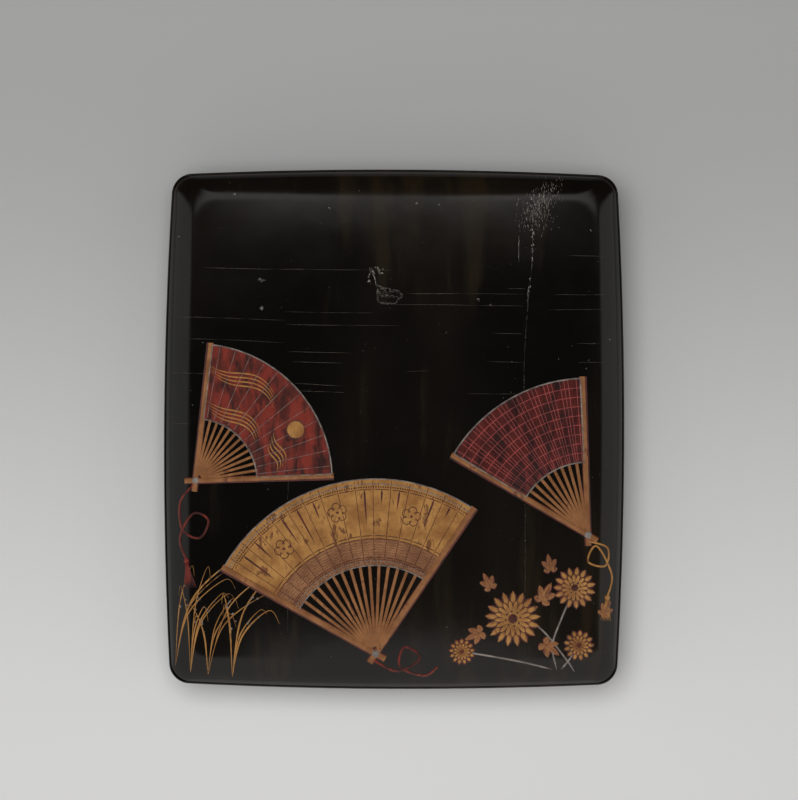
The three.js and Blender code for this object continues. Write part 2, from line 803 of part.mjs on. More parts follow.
function knifeBlade() {
  const x = BLADE_WIDTH / 2;
  const wedge = new THREE.Shape([
    new THREE.Vector2(-x, -BLADE_BACK / 2),
    new THREE.Vector2(0, -BLADE_BACK / 2),
    new THREE.Vector2(x, -BLADE_EDGE / 2),
    new THREE.Vector2(x, BLADE_EDGE / 2),
    new THREE.Vector2(0, BLADE_BACK / 2),
    new THREE.Vector2(-x, BLADE_BACK / 2),
  ]);
  const start = KNIFE_HANDLE_LENGTH;
  const tip = start + BLADE_LENGTH;
  const outline = new THREE.Shape();
  outline.moveTo(-x - CUT, start - CUT);
  outline.lineTo(x + CUT, start - CUT);
  outline.lineTo(x + CUT, tip - BLADE_TIP_RUN);
  outline.quadraticCurveTo(x, tip - BLADE_TIP_RUN / 2, -x, tip);
  outline.lineTo(-x - CUT, tip);
  const blade = common(
    alongY(wedge, start + TANG_GAP, tip),
    extrude(outline, -BLADE_BACK, BLADE_BACK),
  );
  const tang = slot(TANG_WIDTH, BLADE_BACK, start - TANG_LENGTH, start + CUT);
  return geometryOf(solidOf(blade).add(solidOf(tang)));
}

function sheathLength() {
  return BLADE_LENGTH + SHEATH_SLOT_GAP + SHEATH_END;
}

function knifeSheath() {
  return cut(
    alongY(knifeSection(), 0, sheathLength(), LEAST_CORNER),
    slot(
      BLADE_WIDTH + 2 * SHEATH_SLOT_GAP,
      BLADE_BACK + 2 * SHEATH_SLOT_GAP,
      -CUT,
      BLADE_LENGTH + SHEATH_SLOT_GAP,
    ),
  );
}

// Paper pricker

const PRICKER_BORE = NEEDLE_RADIUS + NEEDLE_GAP;
const FERRULE_SEAT = PRICKER_WAIST - FERRULE_WALL;

function prickerHandle() {
  return turned([
    [0, 0],
    [PRICKER_WAIST * 0.7, 0],
    [PRICKER_WAIST, 1.5],
    [PRICKER_RADIUS, PRICKER_LENGTH * 0.25],
    [PRICKER_RADIUS, PRICKER_LENGTH * 0.4],
    [PRICKER_WAIST, PRICKER_LENGTH - FERRULE_LENGTH],
    [FERRULE_SEAT, PRICKER_LENGTH - FERRULE_LENGTH],
    [FERRULE_SEAT, PRICKER_LENGTH],
    [PRICKER_BORE, PRICKER_LENGTH],
    [PRICKER_BORE, PRICKER_LENGTH - NEEDLE_TANG - NEEDLE_GAP],
    [0, PRICKER_LENGTH - NEEDLE_TANG - NEEDLE_GAP],
  ]);
}

function prickerFerrule() {
  const inner = FERRULE_SEAT + GLUE_GAP;
  const near = PRICKER_LENGTH - FERRULE_LENGTH + GLUE_GAP;
  return turned([
    [inner, near],
    [PRICKER_WAIST + GLUE_GAP, near],
    [PRICKER_WAIST + GLUE_GAP, PRICKER_LENGTH - 0.5],
    [PRICKER_WAIST - 0.4, PRICKER_LENGTH],
    [inner, PRICKER_LENGTH],
    [inner, near],
  ]);
}

function prickerNeedle() {
  return turned(
    [
      [0, -NEEDLE_TANG],
      [NEEDLE_RADIUS, -NEEDLE_TANG],
      [NEEDLE_RADIUS, NEEDLE_LENGTH * 0.3],
      [NEEDLE_RADIUS * 0.55, NEEDLE_LENGTH * 0.75],
      [0, NEEDLE_LENGTH],
    ],
    HOLE_STEPS,
  );
}

// Assembly

function piece(name, geometry, material, x = 0, y = 0, z = 0) {
  const mesh = new THREE.Mesh(geometry, material);
  mesh.name = name;
  mesh.position.set(x, y, z);
  return mesh;
}

function lid() {
  const group = new THREE.Group();
  group.add(piece("lid_frame", lidFrame(), lacquer), ...lidPlanks());
  return group;
}

function body() {
  const group = new THREE.Group();
  group.add(
    piece("body_frame", bodyFrame(), innerLacquer),
    piece("body_floor", bodyFloor(), innerLacquer),
  );
  for (const [sideName, side] of [["left", -1], ["right", 1]]) {
    for (const [endName, end] of [["front", -1], ["rear", 1]]) {
      const name = `tray_rest_${sideName}_${endName}`;
      group.add(piece(name, trayRest(side, end), innerLacquer));
    }
  }
  return group;
}

function centre() {
  const group = new THREE.Group();
  const z = RECESS_Z + SEAT_GAP;
  group.add(
    piece("centre_board", centreBoard(), innerLacquer),
    piece("inkstone", inkstone(), slate, 0, STONE_Y, z),
    piece("dropper_vessel", dropperVessel(), gildedCopper, 0, DROPPER_Y, z),
    piece("dropper_cover", dropperCover(), gildedCopper, 0, DROPPER_Y, z),
  );
  return group;
}

function brushSet(brush) {
  const group = new THREE.Group();
  group.position.set(brush.x, CONTENT_START, BRUSH_Z);
  group.add(
    piece(`${brush.name}_handle`, brushHandle(brush), bamboo),
    piece(`${brush.name}_tuft`, brushTuft(brush), hair, 0, brush.handleLength),
    piece(
      `${brush.name}_cap`,
      brushCap(brush),
      bamboo,
      0,
      brush.handleLength - brush.capOverlap,
    ),
  );
  return group;
}

function leftTray() {
  const group = new THREE.Group();
  group.add(
    piece("left_tray_frame", trayFrame(-1), innerLacquer),
    piece("left_tray_floor", trayBay(-1, 0, TRAY_Z, TRAY_FLOOR_Z), innerLacquer),
    piece("brush_rest_front", brushRest(FRONT_REST_AT, (b) => b.handleRadius), lacquer),
    piece("brush_rest_rear", brushRest(REAR_REST_AT, capRadius), lacquer),
    ...BRUSHES.map(brushSet),
  );
  return group;
}

function knife() {
  const group = new THREE.Group();
  group.position.set(
    TRAY_OUTER_X - KNIFE_SIDE_MARGIN - KNIFE_WIDTH / 2,
    CONTENT_START,
    TRAY_FLOOR_Z + CONTENT_GAP + KNIFE_THICKNESS / 2,
  );
  group.add(
    piece("knife_handle", knifeHandle(), bamboo),
    piece("knife_blade", knifeBlade(), steel),
    piece("knife_sheath", knifeSheath(), lacquer, 0, KNIFE_HANDLE_LENGTH + TANG_GAP),
  );
  return group;
}

const INK_X = TRAY_INNER_X + TRAY_WALL + INK_SIDE_MARGIN + INK_WIDTH / 2;

function pricker() {
  const group = new THREE.Group();
  group.position.set(
    INK_X,
    CONTENT_START + INK_LENGTH + PRICKER_INK_GAP,
    TRAY_FLOOR_Z + CONTENT_GAP + PRICKER_RADIUS,
  );
  group.add(
    piece("pricker_handle", prickerHandle(), bamboo),
    piece("pricker_ferrule", prickerFerrule(), gildedCopper),
    piece("pricker_needle", prickerNeedle(), steel, 0, PRICKER_LENGTH),
  );
  return group;
}

function rightTray() {
  const group = new THREE.Group();
  group.add(
    piece("right_tray_frame", trayFrame(1), innerLacquer),
    piece("right_tray_floor", trayBay(1, 0, TRAY_Z, TRAY_FLOOR_Z), innerLacquer),
    piece(
      "ink_stick",
      inkStick(),
      ink,
      INK_X,
      CONTENT_START + INK_LENGTH / 2,
      TRAY_FLOOR_Z + CONTENT_GAP,
    ),
    knife(),
    pricker(),
  );
  return group;
}

const writingBox = new THREE.Group();
writingBox.add(body(), centre(), leftTray(), rightTray(), lid());

export default writingBox;
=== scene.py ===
"""A lacquered writing box, closed, seen square onto its lid. Shapes are worked out in
millimetres and written in metres."""

import math
import random
from typing import NamedTuple

import bmesh
import bpy
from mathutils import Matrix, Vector


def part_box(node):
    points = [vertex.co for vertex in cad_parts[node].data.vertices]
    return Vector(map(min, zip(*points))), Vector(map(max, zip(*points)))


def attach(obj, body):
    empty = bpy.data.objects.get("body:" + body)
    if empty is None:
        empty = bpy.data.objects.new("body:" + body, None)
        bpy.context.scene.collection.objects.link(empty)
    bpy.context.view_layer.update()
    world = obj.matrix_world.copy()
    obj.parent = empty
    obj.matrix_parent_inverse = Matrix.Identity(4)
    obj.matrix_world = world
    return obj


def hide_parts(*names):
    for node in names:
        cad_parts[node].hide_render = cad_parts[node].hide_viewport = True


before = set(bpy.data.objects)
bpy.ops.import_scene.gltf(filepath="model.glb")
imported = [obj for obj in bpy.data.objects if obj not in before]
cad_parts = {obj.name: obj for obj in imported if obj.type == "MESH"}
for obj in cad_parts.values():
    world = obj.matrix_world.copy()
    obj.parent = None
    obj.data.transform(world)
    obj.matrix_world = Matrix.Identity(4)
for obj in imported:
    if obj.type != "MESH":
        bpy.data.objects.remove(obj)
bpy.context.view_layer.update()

MM = 0.001
UV_SPAN = 100  # millimetres to one unit of a pattern
MERGE_GAP = 0.000001  # metres

# Sizes that the solids' boxes don't give
SIDE_BOW = 3.6
END_BOW = 2.8
CORNER_RADIUS = 9.5
LEDGE_WIDTH = 0.9
REBATE_DEPTH = 2.0
RIM_WIDTH = 1.7
LID_WALL = 4.0
ARRIS = 0.5
LIP_ROUNDING = 0.8
SHOULDER_RADIUS = 13.2
SHOULDER_SLOPE = math.radians(55)
EASE_SLOPE = math.radians(14)
DOME_RISE = 4.45
DOME_POWER = 3
TOP_THICKNESS = 4.0
SEAT_WIDTH = 8.3
HOLLOW_RUN = 2.2
SEAM_GAP = 0.05


class Span(NamedTuple):
    """The box round a solid, in millimetres."""

    low: Vector
    high: Vector

    @property
    def centre(self):
        return [(a + b) / 2 for a, b in zip(self.low, self.high)]

    @property
    def half(self):
        return [(b - a) / 2 for a, b in zip(self.low, self.high)]

    @property
    def length(self):
        return self.high.y - self.low.y

    @property
    def front(self):
        """The middle of the end that faces the front."""
        x, _, z = self.centre
        return x, self.low.y, z


def box_mm(node):
    low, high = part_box(node)
    return Span(low / MM, high / MM)


HALF_WIDTH = box_mm("lid_frame").high.x
HALF_LENGTH = box_mm("lid_frame").high.y
SKIRT_Z = box_mm("lid_frame").low.z
SEAT_Z = box_mm("lid_plank_middle").low.z
LEDGE_Z = SEAT_Z + REBATE_DEPTH


# Meshes

def smoothed(mesh, below):
    """Smooth faces that meet in a sharp edge where they turn by more than an angle."""
    mesh.polygons.foreach_set("use_smooth", [True] * len(mesh.polygons))
    mesh.set_sharp_from_angle(angle=math.radians(below))
    mesh.update()


def linked(name, data):
    """A new object in the scene."""
    thing = bpy.data.objects.new(name, data)
    bpy.context.scene.collection.objects.link(thing)
    return thing


def dress(piece, body, slot, *nodes):
    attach(piece, body)
    if nodes:
        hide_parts(*nodes)
    return piece


def plan_uvs(points):
    return [(p[0] / UV_SPAN, p[1] / UV_SPAN) for p in points]


class Shape:
    """Points, faces and pattern coordinates gathered for one piece. A face's kind is the
    number of its material."""

    def __init__(self):
        self.points = []
        self.faces = []
        self.uvs = []
        self.kinds = []

    def add(self, points, faces, uvs=None, kind=0, start=None):
        """Adds faces that count from points, or from the shape's own point at a start. kind is
        for all of them, or a list."""
        first = len(self.points) if start is None else start
        faces = [tuple(first + i for i in face) for face in faces]
        self.points.extend(points)
        self.faces.extend(faces)
        self.uvs.extend(uvs or plan_uvs(points))
        self.kinds.extend(kind if isinstance(kind, list) else [kind] * len(faces))

    def build(self, name, *materials, smooth_below=40, merge=False):
        mesh = bpy.data.meshes.new(name)
        mesh.from_pydata([Vector(p) * MM for p in self.points], [], self.faces)
        for material in materials:
            mesh.materials.append(material)
        mesh.polygons.foreach_set("material_index", self.kinds)
        layer = mesh.uv_layers.new(name="UVMap")
        for loop in mesh.loops:
            layer.data[loop.index].uv = self.uvs[loop.vertex_index]
        mesh.validate()
        work = bmesh.new()
        work.from_mesh(mesh)
        if merge:
            bmesh.ops.remove_doubles(work, verts=work.verts, dist=MERGE_GAP)
            bmesh.ops.dissolve_degenerate(work, dist=MERGE_GAP / 10, edges=work.edges)
        bmesh.ops.recalc_face_normals(work, faces=work.faces)
        work.to_mesh(mesh)
        work.free()
        smoothed(mesh, smooth_below)
        return linked(name, mesh)

    def dress(self, name, body, slot, *materials, nodes=(), **finish):
        return dress(self.build(name, *materials, **finish), body, slot, *nodes)


# The box's bowed plan

def arc_radius(half_chord, bow):
    return (half_chord * half_chord + bow * bow) / (2 * bow)


SIDE_ARC = arc_radius(HALF_LENGTH, SIDE_BOW)
END_ARC = arc_radius(HALF_WIDTH, END_BOW)
SIDE_CENTRE = HALF_WIDTH - SIDE_ARC
END_CENTRE = HALF_LENGTH - END_ARC


def half_width_at(y, inset):
    return SIDE_CENTRE + math.sqrt((SIDE_ARC - inset) ** 2 - y * y)


def half_length_at(x, inset):
    return END_CENTRE + math.sqrt((END_ARC - inset) ** 2 - x * x)


def corner_centre(inset, corner):
    """Where a corner arc is centred that touches both bowed sides."""
    side_reach = SIDE_ARC - inset - corner
    end_reach = END_ARC - inset - corner
    apart = math.hypot(SIDE_CENTRE, END_CENTRE)
    along = (side_reach**2 - end_reach**2 + apart**2) / (2 * apart)
    across = math.sqrt(side_reach**2 - along**2)
    ux, uy = -SIDE_CENTRE / apart, END_CENTRE / apart
    return SIDE_CENTRE + along * ux - across * uy, along * uy + across * ux


def arc_point(centre, reach, angle):
    return centre[0] + reach * math.cos(angle), centre[1] + reach * math.sin(angle)


def circle(centre, radius, count):
    return [arc_point(centre, radius, 2 * math.pi * i / count) for i in range(count)]


def shoulder_rise(distance):
    """An arc that eases into the dome, so that a reflection slides over the join."""
    run = SHOULDER_RADIUS * math.sin(SHOULDER_SLOPE)
    join = run - SHOULDER_RADIUS * math.sin(EASE_SLOPE)
    left = run - min(distance, join)
    rise = math.sqrt(SHOULDER_RADIUS**2 - left**2) - SHOULDER_RADIUS * math.cos(SHOULDER_SLOPE)
    if distance <= join:
        return rise
    steepness = math.tan(EASE_SLOPE)
    length = 2 * steepness * SHOULDER_RADIUS * math.cos(EASE_SLOPE) ** 3
    rest = max(1 - (distance - join) / length, 0.0)
    return rise + steepness * length * (1 - rest**3) / 3


def distance_inside_foot(x, y):
    corner = CORNER_RADIUS - LEDGE_WIDTH
    from_side = half_width_at(y, LEDGE_WIDTH) - abs(x)
    from_end = half_length_at(x, LEDGE_WIDTH) - abs(y)
    apart = from_side - from_end
    if abs(apart) >= corner:
        return min(from_side, from_end)
    return (from_side + from_end) / 2 - corner + math.sqrt(2 * corner**2 - apart**2) / 2


def dome_height(x, y):
    u = abs(x) / half_width_at(y, LEDGE_WIDTH)
    v = abs(y) / half_length_at(x, LEDGE_WIDTH)
    swell = DOME_RISE * (1 - u**DOME_POWER) * (1 - v**DOME_POWER)
    return LEDGE_Z + shoulder_rise(distance_inside_foot(x, y)) + swell


# Materials

FLAKES_PER_METRE = 1500


class Nodes:
    """Short calls for laying out shader nodes."""

    def __init__(self, tree):
        self.tree = tree
        tree.nodes.clear()

    def put(self, socket, value):
        if isinstance(value, bpy.types.NodeSocket):
            self.tree.links.new(value, socket)
        elif isinstance(value, tuple) and socket.type == "RGBA":
            socket.default_value = (*value, 1)
        else:
            socket.default_value = value

    def new(self, kind, inputs=None, **settings):
        node = self.tree.nodes.new(f"ShaderNode{kind}")
        for key, value in settings.items():
            setattr(node, key, value)
        for key, value in (inputs or {}).items():
            self.put(node.inputs[key], value)
        return node

    def math(self, operation, *values):
        node = self.new("Math", dict(enumerate(values)), operation=operation)
        return node.outputs[0]

    def times(self, a, b):
        return self.math("MULTIPLY", a, b)

    def steps(self, value, low, high, to_low=0.0, to_high=1.0):
        limits = {"From Min": low, "From Max": high, "To Min": to_low, "To Max": to_high}
        node = self.new("MapRange", {"Value": value, **limits}, interpolation_type="SMOOTHSTEP")
        return node.outputs["Result"]

    def split(self, vector):
        return self.new("SeparateXYZ", {0: vector}).outputs


class Shader(Nodes):
    """One object material. Places are in metres in the object's own frame."""

    def __init__(self, name):
        self.material = bpy.data.materials.new(name)
        self.material.use_nodes = True
        super().__init__(self.material.node_tree)
        self.surface = self.new("BsdfPrincipled")
        self.new("OutputMaterial", {"Surface": self.surface.outputs["BSDF"]})
        self.coords = self.new("TexCoord")

    def set(self, color, roughness, **values):
        values = {"Base Color": color, "Roughness": roughness, **values}
        for key, value in values.items():
            self.put(self.surface.inputs[key.replace("_", " ")], value)
        return self.material

    def place(self, scale=(1, 1, 1), source="Object", turn=0.0):
        values = {"Vector": self.coords.outputs[source], "Scale": scale, "Rotation": (0, 0, turn)}
        return self.new("Mapping", values).outputs["Vector"]

    def noise(self, vector, scale, detail, roughness=0.55, distortion=0.0):
        values = {"Vector": vector, "Scale": scale, "Detail": detail}
        values.update({"Roughness": roughness, "Distortion": distortion})
        return self.new("TexNoise", values).outputs["Fac"]

    def streaks(self, stretch, detail=3, roughness=0.6, turn=0.0, distortion=0.0):
        return self.noise(self.place(stretch, turn=turn), 1.0, detail, roughness, distortion)

    def cells(self, vector, scale, output="Distance"):
        return self.new("TexVoronoi", {"Vector": vector, "Scale": scale}).outputs[output]

    def mix(self, amount, a, b):
        node = self.new("Mix", data_type="RGBA")
        for index, value in ((0, amount), (6, a), (7, b)):
            self.put(node.inputs[index], value)
        return node.outputs[2]

    def bump(self, height, distance, strength=1.0):
        values = {"Distance": distance, "Strength": strength, "Height": height}
        return self.new("Bump", values).outputs["Normal"]


def black_lacquer():
    """Polished black lacquer, aged to a brown translucency in clouds and a few long stains."""
    s = Shader("black_lacquer")
    here = s.place()
    clouds = s.streaks((9, 6, 9), 3, 0.5)
    tone = s.mix(s.steps(clouds, 0.36, 0.64), (0.0013, 0.0011, 0.0008), (0.0062, 0.0044, 0.0030))
    stains = s.times(s.streaks((95, 12, 95)), s.streaks((14, 9, 14), 2, 0.5))
    tone = s.mix(s.steps(stains, 0.265, 0.42), tone, (0.0120, 0.0080, 0.0042))
    polish = s.steps(s.noise(here, 55, 4, 0.65), 0.3, 0.75, 0.085, 0.15)
    scuffs = s.steps(s.streaks((900, 60, 900), 2, 0.5), 0.66, 0.82, 0, 0.08)
    normal = s.bump(s.noise(here, 70, 2, 0.5), 0.00003)
    return s.set(tone, s.math("ADD", polish, scuffs), Normal=normal, IOR=1.5)


def flecked_lacquer():
    """Amber-brown lacquer with gold flakes in it."""
    s = Shader("flecked_lacquer")
    here = s.place()
    ground = s.mix(s.noise(here, 60, 3), (0.035, 0.014, 0.005), (0.085, 0.034, 0.011))
    flakes = s.steps(s.cells(here, FLAKES_PER_METRE), 0.3, 0.42, 1, 0)
    pick = s.split(s.cells(here, FLAKES_PER_METRE, "Color"))[0]
    crowd = s.times(s.noise(here, 45, 2, 0.5), 0.5)
    fleck = s.times(flakes, s.steps(s.math("ADD", pick, crowd), 0.82, 0.88))
    tone = s.mix(fleck, ground, (0.62, 0.36, 0.10))
    roughness = s.steps(fleck, 0, 1, 0.2, 0.35)
    coat = {"Coat_Weight": 0.35, "Coat_Roughness": 0.1}
    return s.set(tone, roughness, Metallic=s.times(fleck, 0.8), **coat)


def gold_powder(name, light, deep, worn_share):
    """Sprinkled gold powder with grain, cloudy tone and some red ground showing through."""
    s = Shader(name)
    here = s.place()
    clouds = s.noise(here, 120, 4, 0.6)
    grain = s.noise(here, 2600, 2, 0.6)
    tone = s.mix(s.steps(clouds, 0.3, 0.7), deep, light)
    tone = s.mix(s.steps(grain, 0.35, 0.7, 0, 0.45), tone, light)
    worn = s.times(s.streaks((420, 150, 420), 4, 0.65, turn=0.5), clouds)
    tone = s.mix(s.steps(worn, 0.30, 0.38, 0, worn_share), tone, (0.095, 0.026, 0.014))
    roughness = s.steps(clouds, 0.3, 0.7, 0.46, 0.36)
    return s.set(tone, roughness, Metallic=0.3, Normal=s.bump(grain, 0.00006, 0.6))


def rippled_gold():
    """Reddish gold under fine wavering brown lines."""
    s = Shader("rippled_gold")
    clouds = s.steps(s.noise(s.place(), 120, 4, 0.6), 0.3, 0.7)
    outward = s.split(s.place(source="UV"))[1]
    bend = s.noise(s.place((34, 34, 34), source="UV"), 1.0, 3, 0.6)
    waves = s.math("ADD", s.times(outward, 560.0), s.times(bend, 16.0))
    lines = s.steps(s.math("SINE", waves), 0.35, 0.9)
    tone = s.mix(clouds, (0.19, 0.082, 0.036), (0.33, 0.155, 0.07))
    tone = s.mix(s.times(lines, 0.7), tone, (0.085, 0.026, 0.016))
    return s.set(tone, 0.42, Metallic=0.3, Normal=s.bump(lines, 0.00003, 0.5))


def coloured_lacquer(name, light, dark, turn=0.0):
    """Coloured lacquer with dark brushed streaks."""
    s = Shader(name)
    here = s.place()
    streaks = s.streaks((240, 60, 240), 4, 0.65, turn, 0.6)
    blots = s.noise(here, 90, 3, 0.6)
    amount = s.steps(s.math("ADD", streaks, s.times(blots, 0.5)), 0.62, 0.92)
    roughness = s.steps(blots, 0.3, 0.7, 0.26, 0.38)
    normal = s.bump(s.noise(here, 900, 3, 0.6), 0.00004, 0.6)
    return s.set(s.mix(amount, light, dark), roughness, Normal=normal, IOR=1.5)


def plain_metal(name, light, dark, metallic, low_roughness, high_roughness):
    s = Shader(name)
    here = s.place()
    clouds = s.noise(here, 260, 4, 0.6)
    tone = s.mix(s.steps(clouds, 0.3, 0.7), dark, light)
    roughness = s.steps(clouds, 0.3, 0.7, high_roughness, low_roughness)
    normal = s.bump(s.noise(here, 1800, 2), 0.00003, 0.5)
    return s.set(tone, roughness, Metallic=metallic, Normal=normal)


def bare_ground(name, light, dark):
    """Pale clay ground and dust, where the lacquer is chipped or cracked."""
    s = Shader(name)
    speckle = s.noise(s.place(), 1900, 3, 0.7)
    tone = s.mix(s.steps(speckle, 0.42, 0.6), dark, light)
    return s.set(tone, 0.8, Normal=s.bump(speckle, 0.00015))




# Lid

INNER_INSET = 15.5
GRID_STEP = 1.6
STRAIGHT_SHARE = 0.86
FIT_ROUNDS = 3
SHOULDER_STEPS = 24
CORNER_STEPS = 12
ROUND_STEPS = 5
SHARPEST_CORNER = 0.02
HOLLOW_SHARES = (1, 0.97, 0.9, 0.75, 0.5, 0.25)


def spread(reach, step):
    count = 2 * round(reach / step)
    return [reach * (2 * i / count - 1) for i in range(count + 1)]


def fit_reach(value, reach, true_reach):
    """Keeps the middle straight and takes up the bow in the outer part."""
    straight = STRAIGHT_SHARE * reach
    if abs(value) <= straight:
        return value
    share = (abs(value) - straight) / (reach - straight)
    return math.copysign(straight + share * (true_reach - straight), value)


def dome_grid():
    """Rows of plan points that fill the plan at INNER_INSET, whose corners are sharp."""
    columns = spread(half_width_at(0, INNER_INSET), GRID_STEP)
    rows = spread(half_length_at(0, INNER_INSET), GRID_STEP)
    grid = []
    for row in rows:
        line = []
        for column in columns:
            x, y = column, row
            for _ in range(FIT_ROUNDS):
                x = fit_reach(column, columns[-1], half_width_at(y, INNER_INSET))
                y = fit_reach(row, rows[-1], half_length_at(x, INNER_INSET))
            line.append((x, y))
        grid.append(line)
    return grid


def grid_quads(rows, columns):
    """The faces between rows of points."""
    for r in range(rows - 1):
        for c in range(columns - 1):
            a = r * columns + c
            yield a, a + 1, a + columns + 1, a + columns


def corner_angles(inset):
    """A rounded corner's radius and knuckle at an inset, and the angles where its arcs meet."""
    corner = max(CORNER_RADIUS - inset, SHARPEST_CORNER)
    knuckle = corner_centre(inset, corner)
    side = math.atan2(knuckle[1], knuckle[0] - SIDE_CENTRE)
    end = math.atan2(knuckle[1] - END_CENTRE, knuckle[0])
    return corner, knuckle, side, end


def outline_spokes(grid):
    """The grid's border, anticlockwise. Each spoke is (border index, place), where place gives
    the plan point at a smaller inset. A corner's spokes share the grid's corner point."""
    rows, columns = len(grid), len(grid[0])
    corner_x, corner_y = grid[-1][-1]
    grid_side = math.atan2(corner_y, corner_x - SIDE_CENTRE)
    grid_end = math.pi / 2 - math.atan2(corner_y - END_CENTRE, corner_x)

    def spoke(index, signs, point_at):
        def place(inset):
            x, y = point_at(*corner_angles(inset), inset)
            return x * signs[0], y * signs[1]

        return index, place

    def on_side(angle):
        def point_at(corner, knuckle, side, end, inset):
            bent = fit_reach(angle, grid_side, side)
            return arc_point((SIDE_CENTRE, 0), SIDE_ARC - inset, bent)

        return point_at

    def on_end(angle):
        def point_at(corner, knuckle, side, end, inset):
            bent = fit_reach(angle - math.pi / 2, grid_end, math.pi / 2 - end)
            return arc_point((0, END_CENTRE), END_ARC - inset, math.pi / 2 + bent)

        return point_at

    def on_corner(share):
        def point_at(corner, knuckle, side, end, inset):
            return arc_point(knuckle, corner, side + (end - side) * share)

        return point_at

    def side_spokes(order, sign):
        column = columns - 1 if sign > 0 else 0
        for r in order:
            x, y = grid[r][-1]
            angle = math.atan2(y, x - SIDE_CENTRE)
            yield spoke(r * columns + column, (sign, 1), on_side(angle))

    def end_spokes(order, sign):
        row = rows - 1 if sign > 0 else 0
        for c in order:
            x, y = grid[-1][c]
            angle = math.atan2(y - END_CENTRE, x)
            yield spoke(row * columns + c, (1, sign), on_end(angle))

    def corner_spokes(index, signs, order):
        for i in order:
            yield spoke(index, signs, on_corner(i / CORNER_STEPS))

    last = rows * columns - 1
    forwards = range(1, CORNER_STEPS)
    backwards = forwards[::-1]
    return [
        *side_spokes(range(rows), 1),
        *corner_spokes(last, (1, 1), forwards),
        *end_spokes(range(columns)[::-1], 1),
        *corner_spokes(last - columns + 1, (-1, 1), backwards),
        *side_spokes(range(rows)[::-1], -1),
        *corner_spokes(0, (-1, -1), forwards),
        *end_spokes(range(columns), -1),
        *corner_spokes(columns - 1, (1, -1), backwards),
    ]


def quarter_round(inset, z, radius, start):
    """Section points [inset, z] on a quarter circle about a centre, turning outwards and down
    from an angle that is measured from the inward direction."""
    points = []
    for i in range(ROUND_STEPS + 1):
        angle = math.radians(start + 90 * i / ROUND_STEPS)
        points.append((inset + radius * math.cos(angle), z + radius * math.sin(angle)))
    return points


def lid_edge_section():
    """Over the arris, down the skirt, round its lip and up its inner face."""
    lip = SKIRT_Z + LIP_ROUNDING
    return [
        *quarter_round(ARRIS, LEDGE_Z - ARRIS, ARRIS, 90),
        *quarter_round(LIP_ROUNDING, lip, LIP_ROUNDING, 180),
        *quarter_round(LID_WALL - LIP_ROUNDING, lip, LIP_ROUNDING, 270),
    ]


def lid_shell_shape():
    """The lacquered lid as one closed shell: dome, shoulder, ledge, skirt, seat and hollow."""
    grid = dome_grid()
    shape = Shape()
    top = [(x, y, dome_height(x, y)) for line in grid for x, y in line]
    shape.add(top, grid_quads(len(grid), len(grid[0])))
    spokes = outline_spokes(grid)
    count = len(spokes)
    previous = [index for index, _ in spokes]

    def add_ring(points, kind):
        """A ring of points, or a single one, joined to the ring before."""
        nonlocal previous
        ring = [len(shape.points) + i % len(points) for i in range(count)]
        faces = []
        for i in range(count):
            j = (i + 1) % count
            face = tuple(dict.fromkeys([previous[i], ring[i], ring[j], previous[j]]))
            if len(face) > 2:
                faces.append(face)
        shape.add(points, faces, kind=kind, start=0)
        previous = ring

    def plan_ring(inset):
        return [place(inset) for _, place in spokes]

    def add_level_ring(inset, z, kind):
        add_ring([(x, y, z) for x, y in plan_ring(inset)], kind)

    for step in range(1, SHOULDER_STEPS + 1):
        inset = INNER_INSET + (LEDGE_WIDTH - INNER_INSET) * step / SHOULDER_STEPS
        add_ring([(x, y, dome_height(x, y)) for x, y in plan_ring(inset)], 0)
    for inset, z in lid_edge_section():
        add_level_ring(inset, z, 0)
    seat_end = RIM_WIDTH + SEAM_GAP + SEAT_WIDTH
    add_level_ring(LID_WALL, SEAT_Z, 1)
    add_level_ring(seat_end, SEAT_Z, 1)
    hollow = plan_ring(seat_end + HOLLOW_RUN)
    for share in HOLLOW_SHARES:
        inner = [(x * share, y * share) for x, y in hollow]
        add_ring([(x, y, dome_height(x, y) - TOP_THICKNESS) for x, y in inner], 1)
    add_ring([(0, 0, dome_height(0, 0) - TOP_THICKNESS)], 1)
    return shape


def make_lid(lacquer, inside):
    nodes = ["lid_frame", "lid_plank_left", "lid_plank_middle", "lid_plank_right"]
    materials = lacquer, inside
    shell = lid_shell_shape()
    shell.dress("lid_shell", "lid", "black_lacquer", *materials, nodes=nodes, smooth_below=35)


# Raised lines, patches and beads laid over the dome

SINK = 0.05
LINE_PROFILE = ((-1.0, 0.0), (-0.75, 0.66), (0.0, 1.0), (0.75, 0.66), (1.0, 0.0))
BLADE_PROFILE = (-1.0, -0.6, 0.0, 0.6, 1.0)
BLADE_POWER = 0.65
BEAD_PROFILE = ((0.95, 0.35), (0.6, 0.82))
BEAD_SIDES = 8
CURVE_STEPS = 12


def on_lid(x, y, lift):
    return x, y, dome_height(x, y) + lift


def between(a, b, share):
    return tuple(low + (high - low) * share for low, high in zip(a, b))


def resampled(path, step):
    """The same path with its points evenly spaced."""
    lengths = [0.0]
    for a, b in zip(path, path[1:]):
        lengths.append(lengths[-1] + math.dist(a, b))
    count = max(2, round(lengths[-1] / step))
    result = []
    k = 0
    for i in range(count + 1):
        target = lengths[-1] * i / count
        while k < len(path) - 2 and lengths[k + 1] < target:
            k += 1
        gap = lengths[k + 1] - lengths[k]
        share = (target - lengths[k]) / gap if gap else 0
        result.append(between(path[k], path[k + 1], share))
    return result


